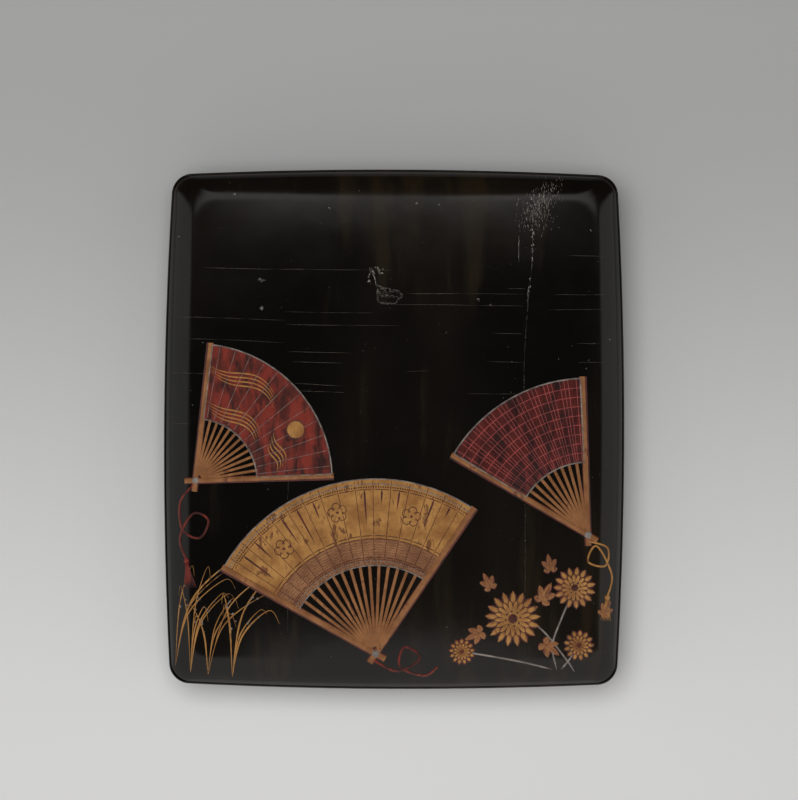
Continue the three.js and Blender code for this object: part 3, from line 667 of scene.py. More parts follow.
def curve_through(knots, step=1.0):
    """A smooth path through knots."""
    ends = [knots[0], *knots, knots[-1]]
    path = []
    for quartet in zip(ends, ends[1:], ends[2:], ends[3:]):
        for i in range(CURVE_STEPS):
            t = i / CURVE_STEPS
            weights = (
                (-t + 2 * t * t - t**3) / 2,
                (2 - 5 * t * t + 3 * t**3) / 2,
                (t + 4 * t * t - 3 * t**3) / 2,
                (-t * t + t**3) / 2,
            )
            path.append(tuple(sum(w * p[k] for w, p in zip(weights, quartet)) for k in (0, 1)))
    path.append(knots[-1])
    return resampled(path, step)


def arc_path(centre, radius, start, end, step):
    turn = math.radians(end - start)
    count = max(2, round(abs(turn) * radius / step))
    angles = [math.radians(start) + turn * i / count for i in range(count + 1)]
    return [arc_point(centre, radius, angle) for angle in angles]


def with_normals(path):
    """Each point of a path with the direction across it and the share of its length."""
    last = len(path) - 1
    for i, (x, y) in enumerate(path):
        a, b = path[max(i - 1, 0)], path[min(i + 1, last)]
        length = math.dist(a, b) or 1.0
        yield x, y, -(b[1] - a[1]) / length, (b[0] - a[0]) / length, i / last


def add_line(shape, path, width, height, base=0.0, taper=0.0, kind=0):
    """A raised line. taper is the share of its length over which each end narrows."""
    points, uvs, faces = [], [], []
    for x, y, nx, ny, share in with_normals(path):
        reach = min(share, 1 - share)
        grown = min(1.0, 0.15 + 0.85 * reach / taper) if taper else 1.0
        for across, up in LINE_PROFILE:
            offset = across * width * grown / 2
            lift = base + height * up * grown if up else base - SINK
            points.append(on_lid(x + nx * offset, y + ny * offset, lift))
            uvs.append((offset / UV_SPAN, share))
    size = len(LINE_PROFILE)
    last = len(points) - size
    for start in range(0, last, size):
        for k in range(size):
            a, b = start + k, start + (k + 1) % size
            faces.append((a, b, b + size, a + size))
    faces.append(tuple(range(size))[::-1])
    faces.append(tuple(range(last, last + size)))
    shape.add(points, faces, uvs, kind)


def add_straight(shape, ends, width, height, step=2.0, **more):
    add_line(shape, resampled(ends, step), width, height, **more)


def add_patch(shape, rows, lifts, uvs=None, kind=0, base=0.0):
    """A thin closed patch over the dome from rows of plan points. lifts holds the height of
    each point above base, and the border runs down into the lacquer."""
    height, width = len(rows), len(rows[0])
    top, bottom = [], []
    for row, lift_row in zip(rows, lifts):
        for (x, y), lift in zip(row, lift_row):
            top.append(on_lid(x, y, base + lift))
            bottom.append(on_lid(x, y, base - SINK))
    faces = []
    start = height * width
    for quad in grid_quads(height, width):
        faces.append(quad)
        faces.append(tuple(start + i for i in reversed(quad)))
    border = list(range(width))
    border += [r * width + width - 1 for r in range(1, height)]
    border += [(height - 1) * width + c for c in range(width - 2, -1, -1)]
    border += [r * width for r in range(height - 2, 0, -1)]
    for a, b in zip(border, border[1:] + border[:1]):
        faces.append((b, a, start + a, start + b))
    flat = [uv for row in uvs for uv in row] if uvs else []
    shape.add(top + bottom, faces, flat * 2, kind)


def add_blade(shape, spine, width, height, base, fullest, kind=0):
    """A pointed petal or leaf along a spine, rounded across, widest at a share of its length."""
    rows, lifts = [], []
    for x, y, nx, ny, share in with_normals(spine):
        if share < fullest:
            bent = share / fullest / 2
        else:
            bent = 0.5 + (share - fullest) / (1 - fullest) / 2
        full = max(math.sin(math.pi * bent), 0.0) ** BLADE_POWER
        half = max(width * full / 2, 0.06)
        rows.append([(x + nx * half * o, y + ny * half * o) for o in BLADE_PROFILE])
        lifts.append([height * full * math.sqrt(1 - 0.96 * o * o) for o in BLADE_PROFILE])
    add_patch(shape, rows, lifts, kind=kind, base=base)


def ring_faces(start, count, sides):
    """Faces between the rings of points that follow one another, from a start."""
    for ring in range(start, start + count * sides, sides):
        for i in range(sides):
            j = (i + 1) % sides
            yield ring + i, ring + j, ring + sides + j, ring + sides + i


def add_bead(shape, x, y, radius, height, base=0.0):
    """A low round bead."""
    points = []
    for reach, up in ((1.0, -SINK), *((reach, up * height) for reach, up in BEAD_PROFILE)):
        ring = circle((x, y), radius * reach, BEAD_SIDES)
        points += [on_lid(*p, base + up) for p in ring]
    points.append(on_lid(x, y, base + height))
    top = len(points) - 1
    faces = [tuple(reversed(range(BEAD_SIDES))), *ring_faces(0, 2, BEAD_SIDES)]
    faces += [(a, b, top) for a, b, _, _ in ring_faces(2 * BEAD_SIDES, 1, BEAD_SIDES)]
    shape.add(points, faces)


def add_disc(shape, x, y, radius, height, kind=0, rings=5, sides=36):
    """A round boss, flat on top with a soft edge."""
    rows, lifts = [], []
    for r in range(rings, -1, -1):
        reach = max(r / rings, 0.001)
        row = circle((x, y), radius * reach, sides)
        rows.append([*row, row[0]])
        lifts.append([height * math.sqrt(1 - 0.97 * reach**6)] * (sides + 1))
    add_patch(shape, rows, lifts, kind=kind)


def turned_about(centre, angle):
    """A function that lays out points drawn about the origin, turned and moved to a centre."""
    c, s = math.cos(math.radians(angle)), math.sin(math.radians(angle))

    def place(x, y):
        return centre[0] + x * c - y * s, centre[1] + x * s + y * c

    return place


# Folding fans

PLEAT_HEIGHT = 0.28
LEAF_BASE = 0.12
LEAF_STEP = 2.2
LEAF_CREASE = 12  # degrees
RIB_HEIGHT = 0.3
CONTOUR = 0.35
EDGE_HEIGHT = 0.55
KNOB_HEIGHT = 0.7
SHADOW_GAP = 0.055
SHADOW_WAVE = 2.3


class Fan(NamedTuple):
    """The plan of one open folding fan: a pleated leaf on ribs that meet at a pivot. A share
    runs from 0 at the first guard to 1 at the last."""

    name: str
    pivot: tuple
    inner: float
    outer: float
    start: float
    end: float
    folds: int

    def angle(self, share):
        return math.radians(self.start + (self.end - self.start) * share)

    def point(self, radius, share):
        return arc_point(self.pivot, radius, self.angle(share))

    def radial(self, near, far, share):
        return [self.point(near, share), self.point(far, share)]

    def arc(self, radius, margin=0.0):
        span = (self.end - self.start) * margin
        return arc_path(self.pivot, radius, self.start + span, self.end - span, 0.8)

    def add_leaf(self, shape, first, last, kind=0):
        """The pleated sheet between two radii."""
        steps = max(3, round((last - first) / LEAF_STEP))
        rows, lifts, uvs = [], [], []
        count = 4 * self.folds
        for c in range(count, -1, -1):
            share = c / count
            fold = 1 - abs(c % 4 / 2 - 1)
            radii = [first + (last - first) * r / steps for r in range(steps + 1)]
            around = self.angle(share) * self.outer / UV_SPAN
            rows.append([self.point(radius, share) for radius in radii])
            lifts.append([LEAF_BASE + PLEAT_HEIGHT * fold] * len(radii))
            uvs.append([(around, radius / UV_SPAN) for radius in radii])
        add_patch(shape, rows, lifts, uvs, kind)

    def make_leaf(self, lacquer):
        leaf = Shape()
        self.add_leaf(leaf, self.inner, self.outer)
        finish = {"smooth_below": LEAF_CREASE}
        leaf.dress(f"{self.name}_leaf", "lid", "black_lacquer", lacquer, **finish)

    def add_guards(self, shape, width, height, kind=0):
        for share, side in ((0.0, -1), (1.0, 1)):
            angle = self.angle(share) + side * (width / 2 - 0.4) / self.outer
            ends = [arc_point(self.pivot, r, angle) for r in (-5.0, self.outer + 0.8)]
            add_straight(shape, ends, width, height, kind=kind)

    def make_ribs(self, gold, shade, rib_width, guard_width):
        """The sticks and the two wider guards, which have a dark contour."""
        sticks = Shape()
        for i in range(self.folds + 1):
            ends = self.radial(3.0, self.inner + 0.5, i / self.folds)
            add_straight(sticks, ends, rib_width, RIB_HEIGHT)
        self.add_guards(sticks, guard_width, 0.5)
        self.add_guards(sticks, guard_width + 2 * CONTOUR, RIB_HEIGHT, kind=1)
        sticks.dress(f"{self.name}_ribs", "lid", "gilt_copper", gold, shade)

    def pleats(self, first):
        """The shares of every second crease."""
        return [i / (2 * self.folds) for i in range(first, 2 * self.folds, 2)]

    def add_shadows(self, shape, low, high, clear_of):
        """Pointed strokes of shade in the valleys between pleats, from the outer border in."""
        for share in self.pleats(2):
            reach = 0.55 + 0.3 * math.sin(share * 2 * self.folds * SHADOW_WAVE)
            if min(abs(share - at) for at in clear_of) < SHADOW_GAP:
                continue
            spine = resampled(self.radial(high, high + (low - high) * reach, share), 1.5)
            add_blade(shape, spine, 0.9, 0.2, base=LEAF_BASE + 0.03, fullest=0.1)

    def add_outline(self, shape, width):
        for radius in (self.inner, self.outer):
            add_line(shape, self.arc(radius), width, PLEAT_HEIGHT + LEAF_BASE + 0.1)

    def add_borders(self, shape, width):
        for share in (0.0, 1.0):
            add_straight(shape, self.radial(self.inner, self.outer, share), width, EDGE_HEIGHT)

    def add_creases(self, shape, width):
        for share in self.pleats(1):
            ends = self.radial(self.inner + 0.6, self.outer - 0.6, share)
            add_straight(shape, ends, width, height=0.08, base=LEAF_BASE + PLEAT_HEIGHT)

    def add_beads(self, shape, radius, gap, size):
        count = int(math.radians(self.end - self.start) * radius / gap)
        for i in range(count):
            x, y = self.point(radius, (i + 0.5) / count)
            add_bead(shape, x, y, size, height=0.3, base=LEAF_BASE + PLEAT_HEIGHT * 0.6)

    def add_knob(self, shape, radius):
        add_disc(shape, *self.pivot, radius, KNOB_HEIGHT)


GOLD_FAN = Fan("gold_fan", pivot=(-8, -102), inner=40, outer=79, start=57, end=150, folds=15)
RED_FAN = Fan("red_fan", pivot=(-90, -24), inner=28, outer=62, start=3, end=83, folds=12)
PLAID_FAN = Fan("plaid_fan", pivot=(88, -48), inner=33, outer=71, start=93, end=149, folds=9)


# Age: shrinkage cracks, open seams, chips and dust. Places are pixels of the photograph.

PHOTO_SCALE = 2.192  # pixels of the photograph to a millimetre of the lid's outline
PHOTO_SIZE = 800
LID_CENTRE_IN_PHOTO = (394.0, 428.6)
CRACKS = (
    (204, 269.5, 392, 272),
    (174, 318.5, 285, 321.5),
    (285, 313, 372, 314),
    (286, 325.5, 400, 327),
    (187, 340, 285, 344),
    (287, 353, 350, 354.5),
    (293, 362.5, 342, 364),
    (169, 373.8, 212, 375.6),
    (262, 376.8, 288, 377.6),
    (293, 384.3, 343, 386.5),
    (291, 391.8, 345, 393.5),
    (567, 256, 603.5, 256.5),
    (505, 289.5, 525, 289.8),
    (406, 294.4, 522, 295),
    (552, 294.7, 603.5, 295),
    (390, 306, 522, 306.5),
    (546, 310.5, 603.5, 309.8),
    (492, 334, 522, 334.4),
    (574, 343.9, 600, 343.6),
    (487, 362.5, 522, 362.8),
    (576, 362.5, 603, 362.6),
    (405, 372.5, 429, 372),
    (466, 394.2, 520, 393.8),
    (495, 419, 522, 419.3),
    (171, 424, 191, 424.5),
    (505, 463, 520, 463.3),
)
CRACK_SWAY = 0.16
CRACK_WIDTH = 0.17
CRACK_HEIGHT = 0.04
LEFT_SEAM = [(289, 385), (289.4, 440), (288.8, 500), (289.2, 560), (289, 634)]
RIGHT_SEAM = [(532, 190), (531, 235), (530.6, 268), (527.3, 290), (526.2, 315), (524, 342)]
RIGHT_SEAM += [(522.8, 380), (523.2, 440), (524, 500), (524.5, 560), (524.2, 620), (524, 664)]
SEAM_SHIFT = 0.3
# Along the right-hand seam: from, to, how thickly flaked, how large
SEAM_CHIPS = (
    (190, 228, 0.6, 0.5),
    (229, 240, 0.85, 1.3),
    (242, 262, 0.65, 1.0),
    (262, 272, 0.3, 0.5),
    (279, 296, 0.65, 1.05),
    (296, 326, 0.4, 0.6),
    (326, 664, 0.2, 0.35),
)
SIDE_CRACK = (517.5, range(236, 264, 3))
CHIPS = (
    (415.5, 204.5, 1.1),
    (438, 205.3, 0.7),
    (234.2, 195.5, 0.8),
    (328.4, 209, 1.0),
    (489, 305.6, 0.7),
    (477, 300, 1.0),
    (589.3, 230.4, 0.6),
    (587.5, 359.6, 0.45),
    (584.8, 368.6, 0.45),
    (178.5, 237.5, 0.4),
    (608.5, 339, 0.45),
)
CRUMBS = 3
LARGE_CHIPS = ((260.9, 281.7, 2.1, 1.2), (262.4, 309.4, 1.4, 1.0))
LARGE_CHIP_FLAKES = 16
WIDE_CHIP = [(376, 286), (383, 288.5), (391, 290), (399, 292), (401.5, 296.5), (398, 302)]
WIDE_CHIP += [(393, 305.5), (385, 305), (378, 304), (376.5, 297), (376, 286)]
WIDE_CHIP_FLAKES = 260
CHIP_CRACK = ((371, 273.5), (374, 279), (375.6, 287))
GRIT = ((375.5, 271.5, 3.2, 1.5, 20), (368.5, 279, 0.7, 3.0, 9))
RIM_CHIPS = (204, 222, 236, 262, 287, 349, 455, 512, 566)
CRAZED_AREA = (534, 207)
CRAZED_X = (514, 562)
CRAZED_Y = (176, 240)
CRAZE_LINES = 430
CRAZE_REACH = (9.0, 13.0)
CRAZE_LEAN = 0.75
DUST_SPECKS = 230
DUST_REACH = (100, 113)
FLAKE_SIDES = 7


def from_photo(px, py):
    """The lid's plan point under a pixel of the photograph."""
    centre_x, centre_y = LID_CENTRE_IN_PHOTO
    return (px - centre_x) / PHOTO_SCALE, (centre_y - py) / PHOTO_SCALE


def photo_curve(knots, step):
    return curve_through([from_photo(*knot) for knot in knots], step)


def wavering(start, end, rng):
    """A nearly straight path with a slight drift."""
    length = math.dist(start, end)
    count = max(3, round(length / 2.5))
    phase, drift = rng.uniform(0, 6), 0.0
    path = []
    for i in range(count + 1):
        t = i / count
        drift = drift * 0.7 + rng.uniform(-CRACK_SWAY, CRACK_SWAY) * 0.4
        bend = math.sin(phase + t * length / 14) * CRACK_SWAY
        x, y = between(start, end, t)
        path.append((x, y + bend + drift))
    return path


def add_flake(shape, rng, x, y, length, width, angle, height):
    """An irregular flake or splinter."""
    place = turned_about((x, y), angle)
    ring = []
    for i in range(FLAKE_SIDES):
        around = 2 * math.pi * (i + rng.uniform(-0.25, 0.25)) / FLAKE_SIDES
        reach = rng.uniform(0.6, 1.0)
        ring.append((math.cos(around) * length * reach / 2, math.sin(around) * width * reach / 2))
    points = [on_lid(*place(*p), -SINK) for p in ring]
    points += [on_lid(*place(p[0] * 0.7, p[1] * 0.7), height * rng.uniform(0.6, 1)) for p in ring]
    points.append(on_lid(x, y, height))
    faces = [tuple(reversed(range(FLAKE_SIDES)))]
    for side in ring_faces(0, 1, FLAKE_SIDES):
        faces.append(side)
        faces.append((side[3], side[2], 2 * FLAKE_SIDES))
    shape.add(points, faces)


def add_speck(shape, rng, x, y, length, height, width=None):
    """A flake that lies at any angle."""
    add_flake(shape, rng, x, y, length, width or length * 0.6, rng.uniform(0, 180), height)


def make_cracks(ground):
    rng = random.Random(11)
    shape = Shape()
    for x0, y0, x1, y1 in CRACKS:
        path = wavering(from_photo(x0, y0), from_photo(x1, y1), rng)
        at = 0
        while at < len(path) - 2:
            last = min(at + rng.randint(5, 16), len(path) - 1)
            width = CRACK_WIDTH * rng.uniform(0.6, 1.15)
            add_straight(shape, path[at : last + 1], width, CRACK_HEIGHT, step=1.2, taper=0.25)
            at = last
    for knots in (LEFT_SEAM, RIGHT_SEAM):
        path = photo_curve(knots, 1.5)
        at = 0
        while at < len(path) - 3:
            last = min(at + rng.randint(2, 7), len(path) - 1)
            shift = rng.uniform(-0.12, 0.12)
            piece = [(x + shift, y) for x, y in path[at : last + 1]]
            add_line(shape, piece, CRACK_WIDTH * rng.uniform(0.45, 0.9), CRACK_HEIGHT, taper=0.3)
            at = last + (rng.random() < 0.35)
    shape.dress("lid_cracks", "lid", "black_lacquer", ground)


def make_seam_lines(dark):
    """The open joints between the boards, as dark lines beside the pale flaking."""
    shape = Shape()
    for knots, width in ((LEFT_SEAM, 0.3), (RIGHT_SEAM, 0.42)):
        path = [(x + SEAM_SHIFT, y) for x, y in photo_curve(knots, 1.5)]
        add_line(shape, path, width, height=0.03, taper=0.04)
    shape.dress("lid_seams", "lid", "black_lacquer", dark)


def add_wide_chip(shape, rng):
    """A chip with a broken edge, and flakes over its upper part."""
    edge = photo_curve(WIDE_CHIP, 0.25)
    middle = [sum(p[k] for p in edge) / len(edge) for k in (0, 1)]
    for point in edge:
        if rng.random() < 0.25:
            continue
        at = between(middle, point, rng.uniform(0.86, 1.04))
        size = rng.uniform(0.2, 0.62)
        add_speck(shape, rng, *at, size, 0.12)
    for _ in range(WIDE_CHIP_FLAKES):
        point = rng.choice(edge)
        out = rng.uniform(0, 1) ** 0.6
        at = between(middle, point, out)
        high = at[1] > middle[1] - 1.2 or out > 0.8
        size = rng.uniform(0.18, 0.5) * (1 if high else 0.55)
        add_speck(shape, rng, *at, size, 0.1)
    add_line(shape, photo_curve(CHIP_CRACK, 0.5), width=0.3, height=0.06, taper=0.2)


def make_chips(ground):
    rng = random.Random(23)
    shape = Shape()
    for px, py, size in CHIPS:
        x, y = from_photo(px, py)
        add_flake(shape, rng, x, y, size * 1.5, size * 0.8, rng.uniform(-30, 30), height=0.1)
        for _ in range(CRUMBS):
            dx, dy = rng.uniform(-1, 1) * size, rng.uniform(-1, 1) * size
            add_speck(shape, rng, x + dx, y + dy, 0.4, 0.07, 0.25)
    for px, py, length, width in LARGE_CHIPS:
        x, y = from_photo(px, py)
        for _ in range(LARGE_CHIP_FLAKES):
            dx, dy = rng.gauss(0, length / 2.6), rng.gauss(0, width / 2.6)
            angle, long = rng.uniform(-40, 60), rng.uniform(0.4, 1.1)
            add_flake(shape, rng, x + dx, y + dy, long, 0.4, angle, height=0.08)
    add_wide_chip(shape, rng)
    for px, py, spread_x, spread_y, count in GRIT:
        x, y = from_photo(px, py)
        for _ in range(count):
            dx, dy = rng.uniform(-spread_x, spread_x), rng.uniform(-spread_y, spread_y)
            add_bead(shape, x + dx, y + dy, rng.uniform(0.16, 0.34), height=0.1)
    for px in RIM_CHIPS:
        x = from_photo(px + rng.uniform(-3, 3), 0)[0]
        y = half_length_at(x, ARRIS) - 0.2
        add_flake(shape, rng, x, y, rng.uniform(0.7, 2.2), width=0.3, angle=0, height=0.05)
    shape.dress("lid_chips", "lid", "black_lacquer", ground)


def make_crazing(ground):
    """Where the lacquer has crazed over the upper end of the right-hand joint."""
    rng = random.Random(5)
    shape = Shape()
    for _ in range(CRAZE_LINES):
        dx, dy = (rng.gauss(0, reach) for reach in CRAZE_REACH)
        px = CRAZED_AREA[0] + dx + max(-dy, 0) * CRAZE_LEAN
        py = CRAZED_AREA[1] + dy
        if not (CRAZED_X[0] < px < CRAZED_X[1] and CRAZED_Y[0] < py < CRAZED_Y[1]):
            continue
        centre = x, y = from_photo(px, py)
        angle = math.radians(90 + rng.gauss(0, 16))
        half = rng.uniform(0.2, 1.1)
        middle = x + rng.uniform(-0.15, 0.15), y
        ends = [arc_point(centre, -half, angle), middle, arc_point(centre, half, angle)]
        add_straight(shape, ends, rng.uniform(0.07, 0.16), height=0.05, step=0.7, taper=0.4)
    for x, y in photo_curve(RIGHT_SEAM, 0.4):
        py = LID_CENTRE_IN_PHOTO[1] - y * PHOTO_SCALE
        for first, last, dense, size in SEAM_CHIPS:
            if first < py < last and rng.random() < dense:
                length = size * rng.uniform(0.5, 1.4)
                angle = 90 + rng.gauss(0, 22)
                at_x = x + rng.gauss(0, size / 4)
                add_flake(shape, rng, at_x, y, length, length * 0.45, angle, height=0.1)
    px, levels = SIDE_CRACK
    side_crack = [from_photo(px + rng.uniform(-0.6, 0.6), py) for py in levels]
    add_straight(shape, side_crack, width=0.18, height=0.05, step=0.8, taper=0.2)
    shape.dress("lid_crazing", "lid", "black_lacquer", ground)


def make_dust(ground):
    rng = random.Random(77)
    shape = Shape()
    for _ in range(DUST_SPECKS):
        x, y = (rng.uniform(-reach, reach) for reach in DUST_REACH)
        size = rng.uniform(0.12, 0.36)
        add_speck(shape, rng, x, y, size * 1.3, 0.05, size)
    shape.dress("lid_dust", "lid", "black_lacquer", ground)


# Motifs

BAND = GOLD_FAN.inner + 12
CRESTS = ((0.2, 24), (0.52, 26), (0.8, 23))
STREAMS = ((0.36, 0.94, 4.0, 1.6), (0.5, 0.97, 20.5, 2.0), (0.04, 0.3, 9.0, 1.1))
STREAM_STEPS = 40
PLAID_ROWS = 9
PETAL_FULLEST = 0.72
LEAF_FULLEST = 0.4


def make_gold_fan(gold, old_gold, rippled, red, silver):
    fan = GOLD_FAN
    leaf = Shape()
    fan.add_leaf(leaf, fan.inner, BAND, kind=1)
    fan.add_leaf(leaf, BAND, fan.outer)
    materials = gold, rippled
    leaf.dress("gold_fan_leaf", "lid", "gilt_copper", *materials, smooth_below=LEAF_CREASE)
    fan.make_ribs(old_gold, red, rib_width=1.5, guard_width=3.0)
    drawing = Shape()
    fan.add_creases(drawing, 0.3)
    low, high = BAND + 1.4, fan.outer - 4.7
    fan.add_shadows(drawing, low, high, [share for share, _ in CRESTS])
    fan.add_beads(drawing, fan.outer - 3.6, 1.1, 0.36)
    fan.add_beads(drawing, fan.inner + 2.8, 1.1, 0.3)
    lift = LEAF_BASE + PLEAT_HEIGHT * 0.5
    for radius in (fan.inner + 3.6, BAND, low, high):
        add_line(drawing, fan.arc(radius, 0.01), width=0.4, height=0.12, base=lift)
    for share, out in CRESTS:
        x, y = fan.point(fan.inner + out, share)
        add_crest(drawing, x, y, 4.6, math.degrees(fan.angle(share)) - 90)
    drawing.dress("gold_fan_drawing", "lid", "black_lacquer", red)
    edging = Shape()
    fan.add_outline(edging, 0.7)
    fan.add_beads(edging, fan.outer - 2.3, 1.5, 0.5)
    fan.add_beads(edging, fan.inner + 1.8, 1.5, 0.42)
    fan.add_knob(edging, 1.9)
    edging.dress("gold_fan_edging", "lid", "steel", silver)


def add_crest(shape, x, y, size, turn):
    """Five round petals about a centre, drawn in outline."""
    base = LEAF_BASE + PLEAT_HEIGHT
    for i in range(5):
        facing = turn + 90 + 72 * i
        centre = arc_point((x, y), size * 0.56, math.radians(facing))
        path = arc_path(centre, size * 0.4, facing - 130, facing + 130, 0.6)
        add_line(shape, path, width=0.34, height=0.14, base=base)
    add_bead(shape, x, y, size * 0.14, height=0.2, base=base)


def make_red_fan(red, dark_gold, silver, gold, contour):
    fan = RED_FAN
    fan.make_leaf(red)
    fan.make_ribs(dark_gold, contour, rib_width=1.3, guard_width=2.6)
    edging = Shape()
    fan.add_outline(edging, 0.75)
    fan.add_creases(edging, 0.22)
    fan.add_borders(edging, 0.7)
    fan.add_knob(edging, 1.7)
    edging.dress("red_fan_edging", "lid", "steel", silver)
    streams = Shape()
    lift = LEAF_BASE + PLEAT_HEIGHT * 0.75
    for first, last, out, sway in STREAMS:
        for strand in range(4):
            path = []
            for i in range(STREAM_STEPS + 1):
                share = first + 0.02 * strand + (last - first) * i / STREAM_STEPS
                swing = math.sin(i / STREAM_STEPS * 2 * math.pi) * sway
                path.append(fan.point(fan.inner + out + 1.5 * strand + swing, share))
            add_line(streams, resampled(path, 0.8), width=0.75, height=0.14, base=lift, taper=0.45)
    x, y = fan.point(fan.inner + 23, 0.3)
    add_disc(streams, x, y, radius=4.6, height=0.5)
    add_disc(streams, x, y, radius=5.1, height=0.42, kind=1)
    streams.dress("red_fan_streams", "lid", "gilt_copper", gold, contour, smooth_below=50)


def make_plaid_fan(dark_red, rose, silver, old_gold):
    fan = PLAID_FAN
    fan.make_leaf(dark_red)
    lattice = Shape()
    lift = LEAF_BASE + PLEAT_HEIGHT * 0.55
    for i in range(1, PLAID_ROWS):
        radius = fan.inner + (fan.outer - fan.inner) * i / PLAID_ROWS
        add_line(lattice, fan.arc(radius, 0.005), width=0.42, height=0.2, base=lift)
    columns = 4 * fan.folds
    for i in range(1, columns):
        if i % 4 != 2:
            ends = fan.radial(fan.inner + 0.5, fan.outer - 0.5, i / columns)
            add_straight(lattice, ends, width=0.34, height=0.2, base=lift)
    lattice.dress("plaid_fan_lattice", "lid", "black_lacquer", rose)
    edging = Shape()
    fan.add_outline(edging, 0.8)
    fan.add_borders(edging, 0.8)
    fan.add_knob(edging, 1.8)
    edging.dress("plaid_fan_edging", "lid", "steel", silver)
    fan.make_ribs(old_gold, dark_red, rib_width=1.5, guard_width=2.8)


def add_flower(shape, x, y, radius, petals, turn):
    """A chrysanthemum seen from above: two whorls of narrow petals, each on a wider dark one."""
    for whorl, (reach, base) in enumerate(((1.0, 0.06), (0.68, 0.34))):
        long = radius * reach
        width = 2 * math.pi * long / petals * (0.56 + 0.1 * whorl)
        for i in range(petals):
            angle = math.radians(turn + 360 * (i + 0.5 * whorl) / petals)
            radii = (radius * 0.14, long, long + 0.3, long * 0.3, long * 0.8)
            near, far, tip, *groove = [arc_point((x, y), r, angle) for r in radii]
            spine, wider = resampled([near, far], long / 7), resampled([near, tip], long / 7)
            add_blade(shape, spine, width, 0.42, base, PETAL_FULLEST)
            add_blade(shape, wider, width + 0.8, 0.34, base - 0.05, PETAL_FULLEST, kind=1)
            line = {"width": 0.22, "height": 0.1, "base": base + 0.36}
            add_straight(shape, groove, step=1.0, taper=0.4, kind=1, **line)


LEAF_LOBES = ((0.0, 1.0, 0), (0.12, 0.66, 42), (0.12, 0.66, -42))
LEAF_LOBES += ((0.02, 0.42, 88), (0.02, 0.42, -88))


def add_leaf(shape, x, y, length, turn):
    """A lobed leaf made of five pointed blades."""
    place = turned_about((x, y), turn)
    for start, reach, angle in LEAF_LOBES:
        root = length * start, 0
        tip = arc_point(root, length * reach, math.radians(angle))
        spine = [place(*p) for p in resampled([root, tip], length * reach / 8)]
        add_blade(shape, spine, length * 0.3, 0.34, 0.06, LEAF_FULLEST)
        add_blade(shape, spine, length * 0.3 + 0.9, 0.26, 0.0, LEAF_FULLEST, kind=1)
        add_line(shape, spine[:-1], width=0.26, height=0.1, base=0.36, taper=0.5, kind=1)


FLOWERS = (
    (54, -86, 12.5, 17, 5),
    (82, -72, 9.5, 15, 11),
    (84, -98, 7.0, 13, 2),
    (31, -101, 6.0, 13, 8),
)
FLOWER_LEAVES = (
    (67, -78, 9.5, 62),
    (68, -97, 9.0, -38),
    (40, -92, 8.5, 205),
    (71, -64, 7.5, 100),
    (95, -84, 7.0, 60),
    (44, -72, 7.5, 118),
)
STEMS = (
    [(54, -86), (66, -90), (78, -104), (82, -110)],
    [(82, -72), (76, -86), (72, -98), (74, -109)],
    [(84, -98), (80, -104), (76, -109)],
    [(31, -101), (44, -103), (60, -106), (72, -109)],
)


def make_flowers(gold, old_gold, silver, red):
    heads, hearts, leaves, stems = Shape(), Shape(), Shape(), Shape()
    for flower in FLOWERS:
        add_flower(heads, *flower)
    heads.dress("flower_petals", "lid", "gilt_copper", gold, red, smooth_below=50)
    for x, y, radius, _, _ in FLOWERS:
        add_disc(hearts, x, y, radius * 0.19, height=0.6, rings=4, sides=20)
        for i in range(8):
            bx, by = arc_point((x, y), radius * 0.27, math.radians(45 * i + 10))
            add_bead(hearts, bx, by, radius * 0.045, height=0.2, base=0.5)
    hearts.dress("flower_hearts", "lid", "black_lacquer", red)
    for leaf in FLOWER_LEAVES:
        add_leaf(leaves, *leaf)
    leaves.dress("flower_leaves", "lid", "gilt_copper", old_gold, red, smooth_below=50)
    for knots in STEMS:
        add_line(stems, curve_through(knots), width=0.9, height=0.22, taper=0.1)
    stems.dress("flower_stems", "lid", "steel", silver)


GRASS_ROOTS = ((-99, -108), (-92, -111), (-84, -112), (-73, -113))
GRASS_EDGE = -101


def make_grasses(gold, silver):
    """Bending autumn grasses with seed heads and drops of dew."""
    rng = random.Random(3)
    blades, dew = Shape(), Shape()
    for root_x, root_y in GRASS_ROOTS:
        for i in range(6):
            lean = rng.uniform(0.12, 0.75) * (1 if i % 3 else -0.35)
            rise = rng.uniform(24, 52)
            tip = root_x + lean * rise, root_y + rise
            middle = root_x + lean * rise * 0.28, root_y + rise * 0.62
            fallen = tip[0] + lean * 9, tip[1] - rng.uniform(1, 7)
            knots = [(root_x, root_y), middle, tip, fallen]
            if min(x for x, _ in knots) < GRASS_EDGE:
                continue
            path = curve_through(knots, 1.2)
            add_line(blades, path, rng.uniform(0.5, 0.95), height=0.18, taper=0.5)
            for _ in range(2):
                x, y = path[rng.randint(len(path) // 2, len(path) - 2)]
                add_bead(dew, x + 0.5, y + 0.4, rng.uniform(0.3, 0.55), height=0.3)
    blades.dress("grass_blades", "lid", "gilt_copper", gold)
    dew.dress("grass_dew", "lid", "steel", silver)


def add_tassel(shape, x, y, length, turn, strands):
    """A bound knot with threads that spread below it."""
    place = turned_about((x, y), turn)
    for i in range(strands):
        swing = (i / (strands - 1) - 0.5) * 2
        drawn = ((0, 0), (length * 0.35, swing * 0.9), (length, swing * length * 0.22))
        path = curve_through([place(*p) for p in drawn], 0.9)
        add_line(shape, path, width=0.5, height=0.28, taper=0.2)
    add_disc(shape, *place(0.4, 0), radius=1.3, height=0.6, rings=4, sides=16)
    for along in (1.6, 2.5):
        ends = [place(along, -1.1), place(along, 1.1)]
        add_straight(shape, ends, width=0.5, height=0.5, step=0.5, base=0.05)


